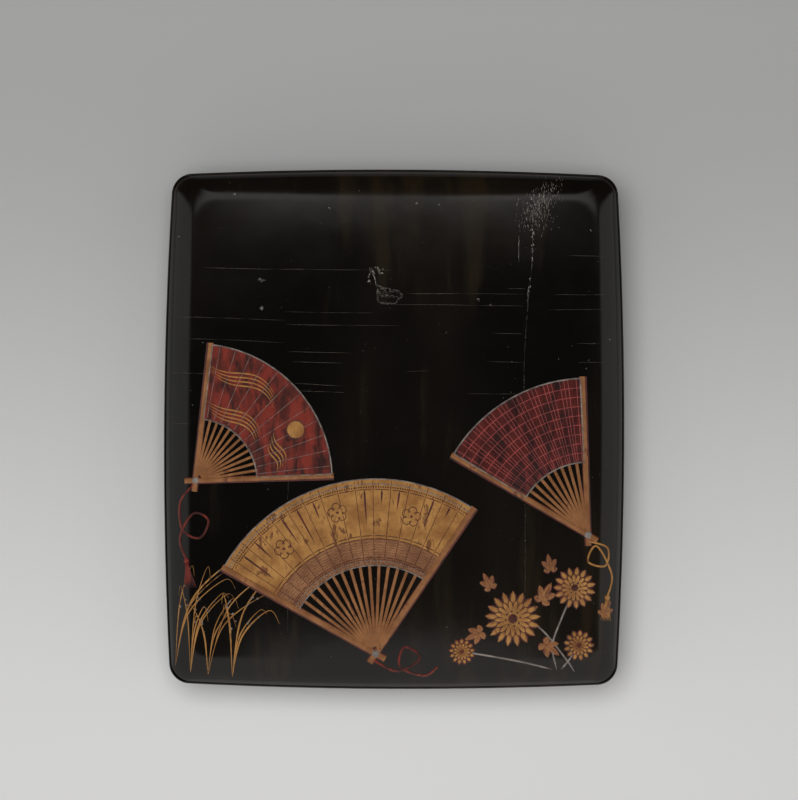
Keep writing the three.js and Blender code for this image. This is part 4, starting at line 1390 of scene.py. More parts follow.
RED_TIE = [(-91, -26), (-97, -34), (-96, -46), (-88, -50), (-84, -42), (-91, -39)]
RED_TIE += [(-97, -50), (-94, -60)]
SHORT_RED_TIE = [(-9, -105), (2, -110), (12, -104), (5, -99), (3, -108), (14, -112), (20, -108)]
GOLD_TIE = [(89, -51), (97, -54), (96, -62), (88, -60), (92, -53), (99, -66), (97, -76)]


def make_ties(red, gold):
    """Drawn ties that run in loops from the fans' pivots and end in tassels."""
    red_ties, gold_ties = Shape(), Shape()
    add_line(red_ties, curve_through(RED_TIE, 0.8), width=1.15, height=0.4)
    add_tassel(red_ties, *RED_TIE[-1], length=13, turn=-82, strands=9)
    add_line(red_ties, curve_through(SHORT_RED_TIE, 0.8), width=1.1, height=0.4)
    red_ties.dress("red_ties", "lid", "black_lacquer", red)
    add_line(gold_ties, curve_through(GOLD_TIE, 0.8), width=1.0, height=0.38)
    add_tassel(gold_ties, *GOLD_TIE[-1], length=11, turn=-95, strands=8)
    gold_ties.dress("gold_ties", "lid", "gilt_copper", gold)


def make_decoration():
    gold = gold_powder("gold_powder", (0.46, 0.232, 0.068), (0.215, 0.085, 0.022), 0.8)
    old_gold = gold_powder("old_gold", (0.33, 0.145, 0.056), (0.165, 0.062, 0.022), 0.8)
    red = coloured_lacquer("red_lacquer", (0.155, 0.017, 0.009), (0.024, 0.005, 0.004), 0.7)
    line_red = coloured_lacquer("line_red", (0.080, 0.017, 0.012), (0.030, 0.009, 0.007))
    dark_red = coloured_lacquer("dark_red", (0.066, 0.008, 0.006), (0.012, 0.003, 0.003))
    rose = coloured_lacquer("rose_lacquer", (0.29, 0.055, 0.050), (0.13, 0.026, 0.024))
    tones = (0.30, 0.26, 0.23), (0.11, 0.085, 0.08)
    silver = plain_metal("aged_silver", *tones, 0.35, 0.35, 0.5)
    make_gold_fan(gold, old_gold, rippled_gold(), line_red, silver)
    make_red_fan(red, old_gold, silver, gold, line_red)
    make_plaid_fan(dark_red, rose, silver, old_gold)
    make_flowers(gold, old_gold, silver, line_red)
    make_grasses(gold, silver)
    make_ties(red, gold)


# Shapes inside the box

FIT_GAP = 0.5
BODY_WALL = 4.0
BODY_INSET = LID_WALL + FIT_GAP
CAVITY_INSET = BODY_INSET + BODY_WALL
NEST_INSET = CAVITY_INSET + 0.5
FLOOR_CHAMFER = 0.8
FLOOR_SHARES = (0.02, 0.25, 0.5, 0.75, 0.92)
THINNEST = 0.02


def quadratic(a, b, c, t):
    weights = (1 - t) ** 2, 2 * t * (1 - t), t * t
    return tuple(sum(w * p[k] for w, p in zip(weights, (a, b, c))) for k in (0, 1))


def eased(points, radius, steps=4):
    """The same open line with rounded corners. A point's third number is its own radius."""
    result = [tuple(points[0][:2])]
    for a, b, c in zip(points, points[1:], points[2:]):
        reach = b[2] if len(b) > 2 else radius
        before, after = math.dist(a[:2], b[:2]), math.dist(b[:2], c[:2])
        cut = min(reach, before * 0.49, after * 0.49)
        start, end = between(b[:2], a[:2], cut / before), between(b[:2], c[:2], cut / after)
        result += [quadratic(start, b, end, i / steps) for i in range(steps + 1)]
    result.append(tuple(points[-1][:2]))
    return result


def add_loft(shape, rings, kinds=None, closed=(True, True)):
    """A skin over rings with equal counts of points, closed by a fan at each end."""
    count = len(rings[0])
    kinds = kinds or [0] * (len(rings) - 1)
    points = [p for ring in rings for p in ring]
    faces, face_kinds = [], []
    for r, kind in enumerate(kinds):
        faces += [(a, d, c, b) for a, b, c, d in ring_faces(r * count, 1, count)]
        face_kinds += [kind] * count
    for end, first, order in ((0, 0, 1), (-1, count * (len(rings) - 1), -1)):
        if closed[end]:
            middle = len(points)
            points.append(tuple(sum(p[k] for p in rings[end]) / count for k in range(3)))
            for i in range(count):
                pair = (first + i, first + (i + 1) % count)[::order]
                faces.append((middle, *pair))
            face_kinds += [kinds[end]] * count
    shape.add(points, faces, kind=face_kinds)


def lofted(name, nodes, body, slot, rings, materials, kinds=None, smooth_below=50):
    """A piece with a skin over rings, in place of some nodes."""
    shape = Shape()
    add_loft(shape, rings, kinds)
    shape.dress(name, body, slot, *materials, nodes=nodes, smooth_below=smooth_below)


def rounded_ring(half_x, half_y, corner, across, along, turn):
    """A rounded rectangle, anticlockwise, with the same count of points for any size."""
    corner = max(corner, 0.0)
    flat_x, flat_y = half_x - corner, half_y - corner
    points = [(half_x, flat_y * (2 * i / along - 1)) for i in range(along + 1)]
    for i in range(1, turn):
        points.append(arc_point((flat_x, flat_y), corner, math.pi / 2 * i / turn))
    points += [(flat_x * (1 - 2 * i / across), half_y) for i in range(across + 1)]
    for i in range(1, turn):
        points.append(arc_point((-flat_x, flat_y), corner, math.pi / 2 * (1 + i / turn)))
    return points + [(-x, -y) for x, y in points]


def turned_rings(centre, profile, steps=40, ridges=0, depth=0.0):
    """Rings about a line along Y, with ridges round them. profile holds radii and distances."""
    x, y, z = centre
    rings = []
    for radius, distance in profile:
        ring = []
        for i in range(steps):
            around = 2 * math.pi * i / steps
            reach = max(radius + depth * math.cos(ridges * around), THINNEST)
            px, pz = arc_point((x, z), reach, around)
            ring.append((px, y + distance, pz))
        rings.append(ring)
    return rings


def strip_kinds(profile, chosen):
    """For each strip of a profile, whether its middle is of the second material."""
    return [int(chosen((a[0] + b[0]) / 2, (a[1] + b[1]) / 2)) for a, b in zip(profile, profile[1:])]


WELD_GAP = 0.00001  # metres
FLAT_ANGLE = math.radians(0.7)
EDGE_ANGLE = math.radians(32)


def soften(name, node, width, material, body, slot):
    """A solid again as a finer piece with its sharp edges rounded."""
    work = bmesh.new()
    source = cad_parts[node]
    part = source.data.copy()
    part.transform(source.matrix_world)
    work.from_mesh(part)
    bpy.data.meshes.remove(part)
    bmesh.ops.remove_doubles(work, verts=work.verts, dist=WELD_GAP)
    parts = {"verts": work.verts, "edges": work.edges}
    bmesh.ops.dissolve_limit(work, angle_limit=FLAT_ANGLE, **parts)
    sharp = [e for e in work.edges if e.is_manifold and e.calc_face_angle(0) > EDGE_ANGLE]
    shape = {"segments": 2, "profile": 0.5, "affect": "EDGES", "clamp_overlap": True}
    bmesh.ops.bevel(work, geom=sharp, offset=width * MM, **shape)
    mesh = bpy.data.meshes.new(name)
    work.to_mesh(mesh)
    work.free()
    mesh.materials.clear()
    mesh.materials.append(material)
    mesh.polygons.foreach_set("material_index", [0] * len(mesh.polygons))
    smoothed(mesh, 24)
    dress(linked(name, mesh), body, slot, node)


# Body and trays

TRAY_WALL = 2.4
TRAY_CORNER = 1.4
NOTCH_HALF = 15.0
NOTCH_DEPTH = 9.0
NOTCH_EASE = 0.2
SIDE_STEPS = 30
CURVE_POINTS = 6
EDGE_STEPS = 16
NOTCH_STEPS = 20


def vessel_rings(ring, wall):
    """A walled box's skin: its underside, its wall's section and its floor, with inner rings."""
    under, floor = wall[0], wall[-1]
    rings = [ring(*under, share) for share in FLOOR_SHARES]
    rings += [ring(*point) for point in wall]
    return rings + [ring(*floor, share) for share in reversed(FLOOR_SHARES)]


def make_body(inside, outside):
    top = box_mm("body_frame").high.z
    floor_top = box_mm("body_floor").high.z
    spokes = outline_spokes(dome_grid())

    def ring(inset, z, share=1.0):
        plan = [place(inset) for _, place in spokes]
        return [(x * share, y * share, z) for x, y in plan]

    section = [
        (BODY_INSET + FLOOR_CHAMFER + 2, 0),
        (BODY_INSET + FLOOR_CHAMFER, 0, 0.5),
        (BODY_INSET, FLOOR_CHAMFER, 0.5),
        (BODY_INSET, top, 1.1),
        (CAVITY_INSET, top, 1.1),
        (CAVITY_INSET, floor_top, 1.6),
        (CAVITY_INSET + 3, floor_top),
    ]
    wall = eased(section, 0.5)
    halfway = (BODY_INSET + CAVITY_INSET) / 2
    outer = next(i for i, (inset, z) in enumerate(wall) if inset > halfway and z > top / 2)
    rings = vessel_rings(ring, wall)
    rim = len(FLOOR_SHARES) + outer
    kinds = [1] * rim + [0] * (len(rings) - 1 - rim)
    nodes, materials = ("body_frame", "body_floor"), (inside, outside)
    lofted("body_shell", nodes, "body", "flecked_lacquer", rings, materials, kinds, 30)
    for place in ("left_front", "left_rear", "right_front", "right_rear"):
        node = f"tray_rest_{place}"
        soften(f"{node}_ledge", node, 0.5, inside, "body", "flecked_lacquer")


def notch_drop(y):
    """How far the thumb notch lowers a tray's rim. Its two ends are eased."""
    full = max(1 - (y / NOTCH_HALF) ** 2, 0.0)
    return NOTCH_DEPTH * math.sqrt(full) * smooth_step(full, 0, NOTCH_EASE)


def smooth_step(value, low, high):
    t = min(max((value - low) / (high - low), 0.0), 1.0)
    return t * t * (3 - 2 * t)


def tray_outline(side, near_x, inset):
    """Plan points and notch drops round a tray at an inset from its outside."""
    nest = NEST_INSET + inset
    corner, knuckle, side_angle, end_angle = corner_angles(nest)
    near = near_x + inset
    own = max(TRAY_CORNER - inset, 0.3)
    plan = []
    for i in range(SIDE_STEPS + 1):
        plan.append(arc_point((SIDE_CENTRE, 0), SIDE_ARC - nest, side_angle * i / SIDE_STEPS))
    for i in range(1, CURVE_POINTS):
        angle = side_angle + (end_angle - side_angle) * i / CURVE_POINTS
        plan.append(arc_point(knuckle, corner, angle))
    start_x = knuckle[0] + corner * math.cos(end_angle)
    for i in range(EDGE_STEPS + 1):
        x = start_x + (near + own - start_x) * i / EDGE_STEPS
        plan.append((x, half_length_at(x, nest)))
    top = half_length_at(near + own, nest) - own
    for i in range(1, CURVE_POINTS):
        plan.append(arc_point((near + own, top), own, math.pi / 2 * (1 + i / CURVE_POINTS)))
    half = [(x, y, 0) for x, y in plan]
    notch_end = NOTCH_HALF + 1
    heights = [top + (notch_end - top) * i / EDGE_STEPS for i in range(EDGE_STEPS + 1)]
    quarter = math.pi / 2 / NOTCH_STEPS
    heights += [NOTCH_HALF * math.cos(quarter * i) for i in range(NOTCH_STEPS + 1)]
    half += [(near, y, notch_drop(y)) for y in heights]
    ring = half + [(x, -y, drop) for x, y, drop in reversed(half[1:-1])]
    return ring if side > 0 else [(-x, y, drop) for x, y, drop in reversed(ring)]


def make_tray(side, name, inside, edge):
    nodes = f"{name}_frame", f"{name}_floor"
    low, high = box_mm(nodes[0])
    near_x = low.x if side > 0 else -high.x
    under, floor_top, top = box_mm(nodes[1]).low.z, low.z, high.z
    middle = side * (near_x + half_width_at(0, NEST_INSET)) / 2

    def ring(inset, z, share=1.0):
        points = []
        for x, y, drop in tray_outline(side, near_x, inset):
            lowered = max(z - floor_top, 0) * drop / (top - floor_top)
            points.append((middle + (x - middle) * share, y * share, z - lowered))
        return points

    section = [
        (1.2, under),
        (0, under, 0.7),
        (0, top, 0.95),
        (TRAY_WALL, top, 0.95),
        (TRAY_WALL, floor_top, 1.3),
        (TRAY_WALL + 2, floor_top),
    ]
    wall = eased(section, 0.5)
    floor_kinds = [0] * len(FLOOR_SHARES)
    rim = [int(min(a[1], b[1]) > top - 1) for a, b in zip(wall, wall[1:])]
    kinds = floor_kinds + rim + floor_kinds
    rings, materials = vessel_rings(ring, wall), (inside, edge)
    lofted(f"{name}_box", nodes, name, "flecked_lacquer", rings, materials, kinds, 32)


# Inkstone

STONE_CORNER = 5.0
STONE_RIM = 5.0
GRINDING_DEPTH = 2.5
WELL_DEPTH = 9.0
GRINDING_LENGTH = 68
WELL_SLOPE_LENGTH = 16
STONE_COLUMNS = 24
STONE_ROWS = 56


def make_inkstone(slate):
    low, high = box_mm("inkstone")
    cx, cy, _ = box_mm("inkstone").centre
    half_x, half_y, _ = box_mm("inkstone").half
    brow = low.y + STONE_RIM + GRINDING_LENGTH

    def depth_at(y):
        into_well = smooth_step(y, brow, brow + WELL_SLOPE_LENGTH)
        return GRINDING_DEPTH + (WELL_DEPTH - GRINDING_DEPTH) * into_well

    def ring(inset, z, corner, hollow=0.0):
        plan = rounded_ring(half_x - inset, half_y - inset, corner, STONE_COLUMNS, STONE_ROWS, 8)
        return [(cx + x, cy + y, z - hollow * depth_at(cy + y)) for x, y in plan]

    edge = eased([(3, low.z), (0, low.z, 1.1), (0, high.z, 1.5), (3, high.z)], 1.0)
    rings = [ring(inset, z, STONE_CORNER - min(inset, 2)) for inset, z in edge]
    rim = eased([(3.4, 0), (STONE_RIM, 0, 0.8), (STONE_RIM + 0.7, 1, 0.9), (9, 1)], 0.8, 5)
    for inset, share in rim:
        rings.append(ring(inset, high.z, STONE_CORNER - max(inset - STONE_RIM, 0), share))
    rings.append(ring(STONE_RIM + STONE_CORNER, high.z, 0.0, 1.0))
    shape = Shape()
    add_loft(shape, rings, closed=(True, False))
    inner_x = half_x - STONE_RIM - STONE_CORNER
    inner_y = half_y - STONE_RIM - STONE_CORNER
    points = []
    for r in range(STONE_ROWS + 1):
        y = cy + inner_y * (2 * r / STONE_ROWS - 1)
        for c in range(STONE_COLUMNS + 1):
            points.append((cx + inner_x * (2 * c / STONE_COLUMNS - 1), y, high.z - depth_at(y)))
    shape.add(points, grid_quads(STONE_ROWS + 1, STONE_COLUMNS + 1))
    piece = shape.build("inkstone_carved", slate, smooth_below=50, merge=True)
    dress(piece, "inkstone", "slate", "inkstone")


# Water dropper

PETALS = 5
PETAL_DEPTH = 1.8
PETAL_STEPS = 160
PETAL_TURNS = [math.pi / 2 + 2 * math.pi * i / PETAL_STEPS for i in range(PETAL_STEPS)]
ROUGH_RADIUS = 20
BELLY = 0.014
DROPPER_WALL = 1.4
COVER_RISE = 2.2
BOSS_HEIGHT = 0.45
VEINS = 18
HOLE_RADIUS = 1.2
SPOUT_OFFSET = 13.0
COLLAR_WIDTH = 0.75
COLLAR_HEIGHT = 0.4
COLLAR_SIDES = 8
HOLE_STEPS = 32


def petal_lobe(angle):
    return math.sqrt(abs(math.cos(PETALS * (angle - math.pi / 2) / 2)))


def flower_ring(centre, radius, z, factor=1.0, blend=1.0, relief=None):
    """An outline with petals, made smaller by a factor. A blend of 0 makes it a circle."""
    points = []
    for angle in PETAL_TURNS:
        dent = PETAL_DEPTH * (1 - petal_lobe(angle)) * blend
        x, y = arc_point(centre, (radius - dent) * factor, angle)
        points.append((x, y, z + (relief(angle, factor) if relief else 0.0)))
    return points


def dropper_plan():
    """The flower's centre and radius. Its petals don't reach as far to the sides as its radius."""
    widest = 0.0
    for degrees in range(-40, 41, 2):
        a = math.radians(degrees)
        dent = PETAL_DEPTH / ROUGH_RADIUS * (1 - petal_lobe(a))
        widest = max(widest, math.cos(a) * (1 - dent))
    radius = box_mm("dropper_vessel").half[0] / widest
    return (0.0, box_mm("dropper_cover").high.y - radius), radius


def make_bowl(centre, radius, gilt):
    low, high = box_mm("dropper_vessel")
    height = high.z - low.z
    rings = []
    outline = [(3, 0), (0, 0, 1.3), (0, height - 0.2, 0.3), (1.2, height - 0.05)]
    for inset, z in eased(outline, 1, 6):
        waist = 1 - math.sin(math.pi * min(max(z / height, 0), 1))
        rings.append(flower_ring(centre, radius - inset, low.z + z, 1 - BELLY * waist))
    lofted("dropper_bowl", ["dropper_vessel"], "dropper", "gilt_copper", rings, [gilt])


def make_dropper(gilt):
    centre, radius = dropper_plan()
    make_bowl(centre, radius, gilt)
    under = box_mm("dropper_cover").low.z
    top = under + DROPPER_WALL

    def relief(angle, factor):
        """Grooves between the petals, fine veins, a boss in the middle and a raised border."""
        turn = PETALS * (angle - math.pi / 2) / 2
        seam = abs(math.cos(turn)) * factor * radius * 2 / PETALS
        groove = -0.55 * math.exp(-((seam / 0.75) ** 2)) * smooth_step(factor, 0.26, 0.34)
        veins = 0.10 * math.cos(VEINS * turn) * smooth_step(factor, 0.36, 0.55)
        veins *= 1 - smooth_step(factor, 0.8, 0.95)
        boss = BOSS_HEIGHT * (1 - smooth_step(factor, 0.2, 0.27))
        border = 0.25 * smooth_step(factor, 0.86, 0.9) * (1 - smooth_step(factor, 0.94, 0.97))
        return groove + veins + boss + border

    factors = [HOLE_RADIUS / radius * (1 + 0.25 * i) for i in range(4)]
    factors += [0.12 + 0.88 * i / 44 for i in range(45)]
    rings = [flower_ring(centre, HOLE_RADIUS, under, blend=0.0)]
    for factor in factors:
        level = top + COVER_RISE * (1 - factor * factor)
        blend = smooth_step(factor, 0.06, 0.3)
        rings.append(flower_ring(centre, radius, level, factor, blend, relief))
    rings.append(flower_ring(centre, radius + 0.12, top - 0.35))
    rings.append(flower_ring(centre, radius, under + 0.3))
    rings.append(flower_ring(centre, radius - 1.2, under))
    shape = Shape()
    add_loft(shape, rings)
    cover = shape.build("dropper_lid", gilt, smooth_below=50)
    bore(cover, (centre[0], centre[1] - SPOUT_OFFSET), under - 1, top + 5)
    dress(cover, "dropper", "gilt_copper", "dropper_cover")
    collars = Shape()
    for offset, boss in ((0.0, BOSS_HEIGHT), (SPOUT_OFFSET, 0.0)):
        level = top + COVER_RISE * (1 - (offset / radius) ** 2) + boss
        add_collar(collars, (centre[0], centre[1] - offset), level)
    collars.dress("dropper_collars", "dropper", "gilt_copper", gilt, smooth_below=60)


def add_collar(shape, centre, z):
    """A rounded ring about a hole."""
    points, faces = [], []
    for i in range(HOLE_STEPS):
        start, after = i * COLLAR_SIDES, (i + 1) % HOLE_STEPS * COLLAR_SIDES
        for k in range(COLLAR_SIDES):
            turn = 2 * math.pi * k / COLLAR_SIDES
            reach = HOLE_RADIUS + COLLAR_WIDTH / 2 * (1 + math.cos(turn))
            x, y = arc_point(centre, reach, 2 * math.pi * i / HOLE_STEPS)
            points.append((x, y, z + COLLAR_HEIGHT * math.sin(turn)))
            n = (k + 1) % COLLAR_SIDES
            faces.append((start + k, after + k, after + n, start + n))
    shape.add(points, faces)


def bore(piece, centre, low, high):
    """Cuts a round hole down through a piece."""
    plan = circle(centre, HOLE_RADIUS, HOLE_STEPS)
    tool = Shape()
    add_loft(tool, [[(x, y, z) for x, y in plan] for z in (low, high)])
    cutter = tool.build("cutter", piece.data.materials[0])
    modifier = piece.modifiers.new("bore", "BOOLEAN")
    modifier.operation = "DIFFERENCE"
    modifier.object = cutter
    bpy.context.view_layer.update()
    bored = piece.evaluated_get(bpy.context.evaluated_depsgraph_get())
    mesh = bpy.data.meshes.new_from_object(bored)
    piece.modifiers.clear()
    piece.data = mesh
    bpy.data.objects.remove(cutter)


# Brushes and tools

class Brush(NamedTuple):
    """Radii, and how far the hair stands out of the handle."""

    radius: float
    tuft_radius: float
    socket: float
    tuft_length: float


LARGE_BRUSH = Brush(4.5, 4.1, 3.4, 30)
SMALL_BRUSH = Brush(3.5, 3.2, 2.6, 24)
JOINT_PLACE = 0.38
CANE_STEPS = 44
STRANDS = 33
STRAND_DEPTH = 0.07


def behind_of(box):
    """The middle of the end that faces the rear."""
    x, y, z = box.front
    return x, y + box.length, z


def bamboo_profile(radius, joint, length):
    """A bamboo stem's outside from its butt: one raised joint with a groove under it."""
    butt = radius * 0.94
    return [
        (butt * 0.55, 0.0),
        (butt * 0.97, 0.0, 0.5),
        (butt, 1.4),
        (butt, joint - 2.6),
        (butt + 0.05, joint - 1.5, 0.5),
        (radius + 0.32, joint - 0.75, 0.3),
        (radius + 0.02, joint - 0.3, 0.15),
        (radius + 0.32, joint + 0.15, 0.3),
        (radius, joint + 1.6, 0.8),
        (radius, length, 0.35),
    ]


def tuft_profile(socket, radius, length):
    """Hair that swells out of its socket and ends in a point."""
    return [
        (socket, -2.8),
        (socket, 0.1),
        (radius * 0.99, length * 0.14, 2.0),
        (radius, length * 0.3, 3.0),
        (radius * 0.86, length * 0.55, 4.0),
        (radius * 0.52, length * 0.79, 4.0),
        (radius * 0.17, length * 0.95, 1.0),
        (0.12, length),
    ]


def cap_profile(inner, outer, length):
    """A bamboo cap from its closed bore out over its mouth, with a joint near its end."""
    return [
        (inner * 0.5, length - 3),
        (inner, length - 3, 0.4),
        (inner, 0, 0.2),
        (outer - 0.1, 0, 0.5),
        (outer, 2.0, 1.0),
        (outer, length - 5.0),
        (outer + 0.05, length - 4.3, 0.4),
        (outer + 0.3, length - 3.4, 0.35),
        (outer + 0.02, length - 2.9, 0.15),
        (outer + 0.3, length - 2.4, 0.35),
        (outer, length - 1.4, 0.6),
        (outer * 0.97, length - 0.1, 0.7),
        (outer * 0.4, length),
    ]


def make_brush(which, brush, bamboo, hair, dark, joint_tone):
    body, stem = f"{which}_brush", f"brush_{which}_handle"
    tuft, cap = f"brush_{which}_tuft", f"brush_{which}_cap"
    box = box_mm(stem)
    joint = box.length * JOINT_PLACE
    bore_radius = brush.socket + 0.25
    profile = eased(bamboo_profile(brush.radius, joint, box.length), 0.4, 3)
    profile += [(bore_radius + 0.2, box.length), (bore_radius, box.length - 0.4)]
    profile += [(bore_radius, box.length - 3)]
    kinds = strip_kinds(profile, lambda radius, y: joint - 1 < y < joint + 0.1)
    rings, materials = turned_rings(box.front, profile, CANE_STEPS), (bamboo, joint_tone)
    lofted(f"{stem}_stem", [stem], body, "bamboo", rings, materials, kinds)

    profile = eased(tuft_profile(brush.socket, brush.tuft_radius, brush.tuft_length), 1.0, 6)
    kinds = [int(y > brush.tuft_length * 0.78) for _, y in profile[1:]]
    rings = turned_rings(behind_of(box), profile, 4 * STRANDS, STRANDS, STRAND_DEPTH)
    lofted(f"{tuft}_hair", [tuft], body, "hair", rings, [hair, dark], kinds, 70)

    box = box_mm(cap)
    outer, end = brush.radius + 1.55, box.length
    profile = eased(cap_profile(brush.radius + 0.25, outer, end), 0.4, 3)
    kinds = strip_kinds(profile, lambda r, y: end - 3.5 < y < end - 2.4 and r > outer - 0.3)
    rings = turned_rings(box.front, profile, CANE_STEPS)
    lofted(f"{cap}_tube", [cap], f"{body}_cap", "bamboo", rings, materials, kinds)


GROOVES = (0.36, 0.39)
SHEATH_SLOT = ((4.9, 1.5, 0.0), (4.8, 1.4, 0.3), (4.8, 1.4, 55.0))
BLADE_BACK = 0.9
BLADE_EDGE = 0.13
POINT_LENGTH = 9.0


def section_ring(front, half_x, half_z, corner, y):
    x0, y0, z0 = front
    return [(x0 + x, y0 + y, z0 + z) for x, z in rounded_ring(half_x, half_z, corner, 6, 3, 6)]


def inset_rings(front, half_x, half_z, profile):
    """Rounded sections along Y, from insets and distances."""
    rings = []
    for inset, y in profile:
        corner = half_z - inset - 0.2
        rings.append(section_ring(front, half_x - inset, half_z - inset, corner, y))
    return rings


def make_knife(bamboo, black, steel, joint_tone):
    handle, sheath, blade = (box_mm(f"knife_{part}") for part in ("handle", "sheath", "blade"))
    half_x, _, half_z = handle.half
    outline = [(2.4, 0), (0, 0, 1.4)]
    for groove in GROOVES:
        at = handle.length * groove
        outline += [(0, at - 0.5, 0.2), (0.28, at, 0.3), (0, at + 0.5, 0.2)]
    outline += [(0, handle.length, 0.4), (1.6, handle.length)]
    profile = eased(outline, 0.3)
    rings = inset_rings(handle.front, half_x, half_z, profile)
    kinds = [int(inset > 0.08 and 4 < y < handle.length - 4) for inset, y in profile[1:]]
    materials = bamboo, joint_tone
    lofted("knife_grip", ["knife_handle"], "knife", "bamboo", rings, materials, kinds, 45)

    mouth = handle.front[0], sheath.low.y, handle.front[2]
    outline = [(2.6, sheath.length), (0, sheath.length, 1.5), (0, 0, 0.45), (2.0, 0)]
    rings = inset_rings(mouth, half_x, half_z, eased(outline, 0.4))
    rings += [section_ring(mouth, wide, thick, 0.4, y) for wide, thick, y in SHEATH_SLOT]
    place = ["knife_sheath"], "knife_sheath", "black_lacquer"
    lofted("knife_scabbard", *place, rings, [black], smooth_below=45)

    start, bend = handle.high.y, blade.high.y - POINT_LENGTH
    stations = [start - 1.5, start + 0.4] + [start + (bend - start) * i / 6 for i in range(1, 7)]
    stations += [bend + POINT_LENGTH * math.sin(math.pi / 2 * i / 12) for i in range(1, 13)]
    rings = []
    for y in stations:
        rings.append([(mouth[0] + x, y, mouth[2] + z) for x, z in blade_section(blade, bend, y)])
    lofted("knife_edge", ["knife_blade"], "knife", "steel", rings, [steel], smooth_below=14)


def blade_section(blade, bend, y):
    """A flat back and a ground edge, which draws back to the point."""
    half = blade.half[0]
    share = max((y - bend) / POINT_LENGTH, 0.0)
    reach = half - 2 * half * share**2 * 0.985
    knee = min(0.4, reach - 0.5 * (1 - share))
    thick = BLADE_BACK * (1 - 0.35 * share)
    section = [(-half, -thick), (-half + 0.3, -thick - 0.02), (knee, -thick), (reach, -BLADE_EDGE)]
    return section + [(x, -z) for x, z in reversed(section)]


PRICKER_WAIST = 3.0
FERRULE_LENGTH = 5.0


def make_pricker(bamboo, gilt, steel):
    box = box_mm("pricker_handle")
    waist, end = PRICKER_WAIST, box.length
    start = end - FERRULE_LENGTH
    grip = [
        (waist * 0.4, 0),
        (waist * 0.75, 0, 0.6),
        (waist, 1.6, 1.0),
        (box.half[0], end * 0.25, 5),
        (box.half[0], end * 0.4, 5),
        (waist, start, 0.2),
        (waist - 0.9, start, 0.1),
        (waist - 0.9, end),
    ]
    start += 0.05
    collar = [
        (1.3, start + 0.2),
        (waist, start, 0.2),
        (waist + 0.05, start + 1.0, 0.2),
        (waist - 0.2, start + 1.3, 0.2),
        (waist + 0.05, start + 1.7, 0.2),
        (waist, end - 1.0, 0.4),
        (waist - 0.6, end, 0.4),
        (1.3, end),
    ]
    reach = box_mm("pricker_needle").high.y - box.high.y
    needle = [(1.1, -2), (1.1, reach * 0.3), (0.95, reach * 0.5), (0.6, reach * 0.76)]
    needle += [(0.05, reach)]
    for name, node, slot, profile, material in (
        ("pricker_grip", "pricker_handle", "bamboo", eased(grip, 0.5, 5), bamboo),
        ("pricker_collar", "pricker_ferrule", "gilt_copper", eased(collar, 0.3, 3), gilt),
    ):
        lofted(name, [node], "pricker", slot, turned_rings(box.front, profile), [material])
    rings = turned_rings(behind_of(box), eased(needle, 4, 5), 24)
    lofted("pricker_point", ["pricker_needle"], "pricker", "steel", rings, [steel])


WORN_LEAN = math.tan(math.radians(14))
PANEL_MARGIN = (1.95, 4.45)


def make_ink_stick(ink, panel_tone):
    box = box_mm("ink_stick")
    cx, cy, _ = box.centre
    half_x, half_y, _ = box.half
    height = box.high.z - box.low.z

    def ring(inset_x, inset_y, z, corner):
        points = []
        for x, y in rounded_ring(half_x - inset_x, half_y - inset_y, corner, 10, 30, 6):
            worn = smooth_step(y, half_y - 7, half_y - 1) * WORN_LEAN * z
            points.append((cx + x, cy + y - worn, box.low.z + z))
        return points

    edge = eased([(3, 0), (0, 0, 0.7), (0, height, 0.9), (1.9, height)], 0.6)
    rings = [ring(d, d, z, 1.8 - d / 3) for d, z in edge]
    panel = eased([(0, 0), (0.55, 0, 0.3), (0.75, 0.5, 0.3), (1.3, 0.5), (1.8, 0.5), (2, 0.5)], 0.1)
    for d, sunk in panel:
        margins = [margin + d for margin in PANEL_MARGIN]
        rings.append(ring(*margins, height - sunk, 2.2 - d / 2))
    kinds = [0] * len(edge) + [int(1.35 < d < 1.85) for d, _ in panel[1:]]
    materials = ink, panel_tone
    lofted("ink_stick_cake", ["ink_stick"], "ink_stick", "ink", rings, materials, kinds, 40)


# Materials inside the box

def bamboo_cane(name, light, dark):
    """Smoked bamboo: fine fibres along the stem, mottled, with a waxy skin."""
    s = Shader(name)
    fibres = s.streaks((1500, 26, 1500), 4)
    mottle = s.streaks((90, 30, 90), 3, 0.55)
    tone = s.mix(s.steps(fibres, 0.3, 0.7), dark, light)
    tone = s.mix(s.steps(mottle, 0.55, 0.75, 0, 0.55), tone, (0.20, 0.085, 0.025))
    roughness = s.steps(mottle, 0.3, 0.7, 0.3, 0.42)
    return s.set(tone, roughness, Normal=s.bump(fibres, 0.00005, 0.5))


def brush_hair(name, light, dark):
    s = Shader(name)
    strands = s.streaks((4200, 60, 4200), 4, 0.7)
    tone = s.mix(s.steps(strands, 0.34, 0.66), dark, light)
    return s.set(tone, 0.62, Sheen_Weight=0.25, Normal=s.bump(strands, 0.00012, 0.9))


def dark_slate():
    """Fine grey slate, with dried ink in the hollow."""
    s = Shader("dark_slate")
    here = s.place()
    grain = s.noise(here, 900, 4, 0.7)
    beds = s.streaks((22, 160, 22), turn=0.5)
    tone = s.mix(s.steps(beds, 0.3, 0.75), (0.030, 0.031, 0.034), (0.066, 0.068, 0.073))
    tone = s.mix(s.steps(grain, 0.62, 0.8, 0, 0.5), tone, (0.16, 0.16, 0.165))
    level = box_mm("inkstone").high.z * MM
    sunk = s.math("SUBTRACT", level, s.split(here)[2])
    stained = s.steps(s.math("ADD", sunk, s.times(beds, 0.003)), 0.0034, 0.0056)
    tone = s.mix(stained, tone, (0.006, 0.006, 0.007))
    roughness = s.steps(stained, 0, 1, 0.62, 0.3)
    return s.set(tone, roughness, Normal=s.bump(grain, 0.00012, 0.7))


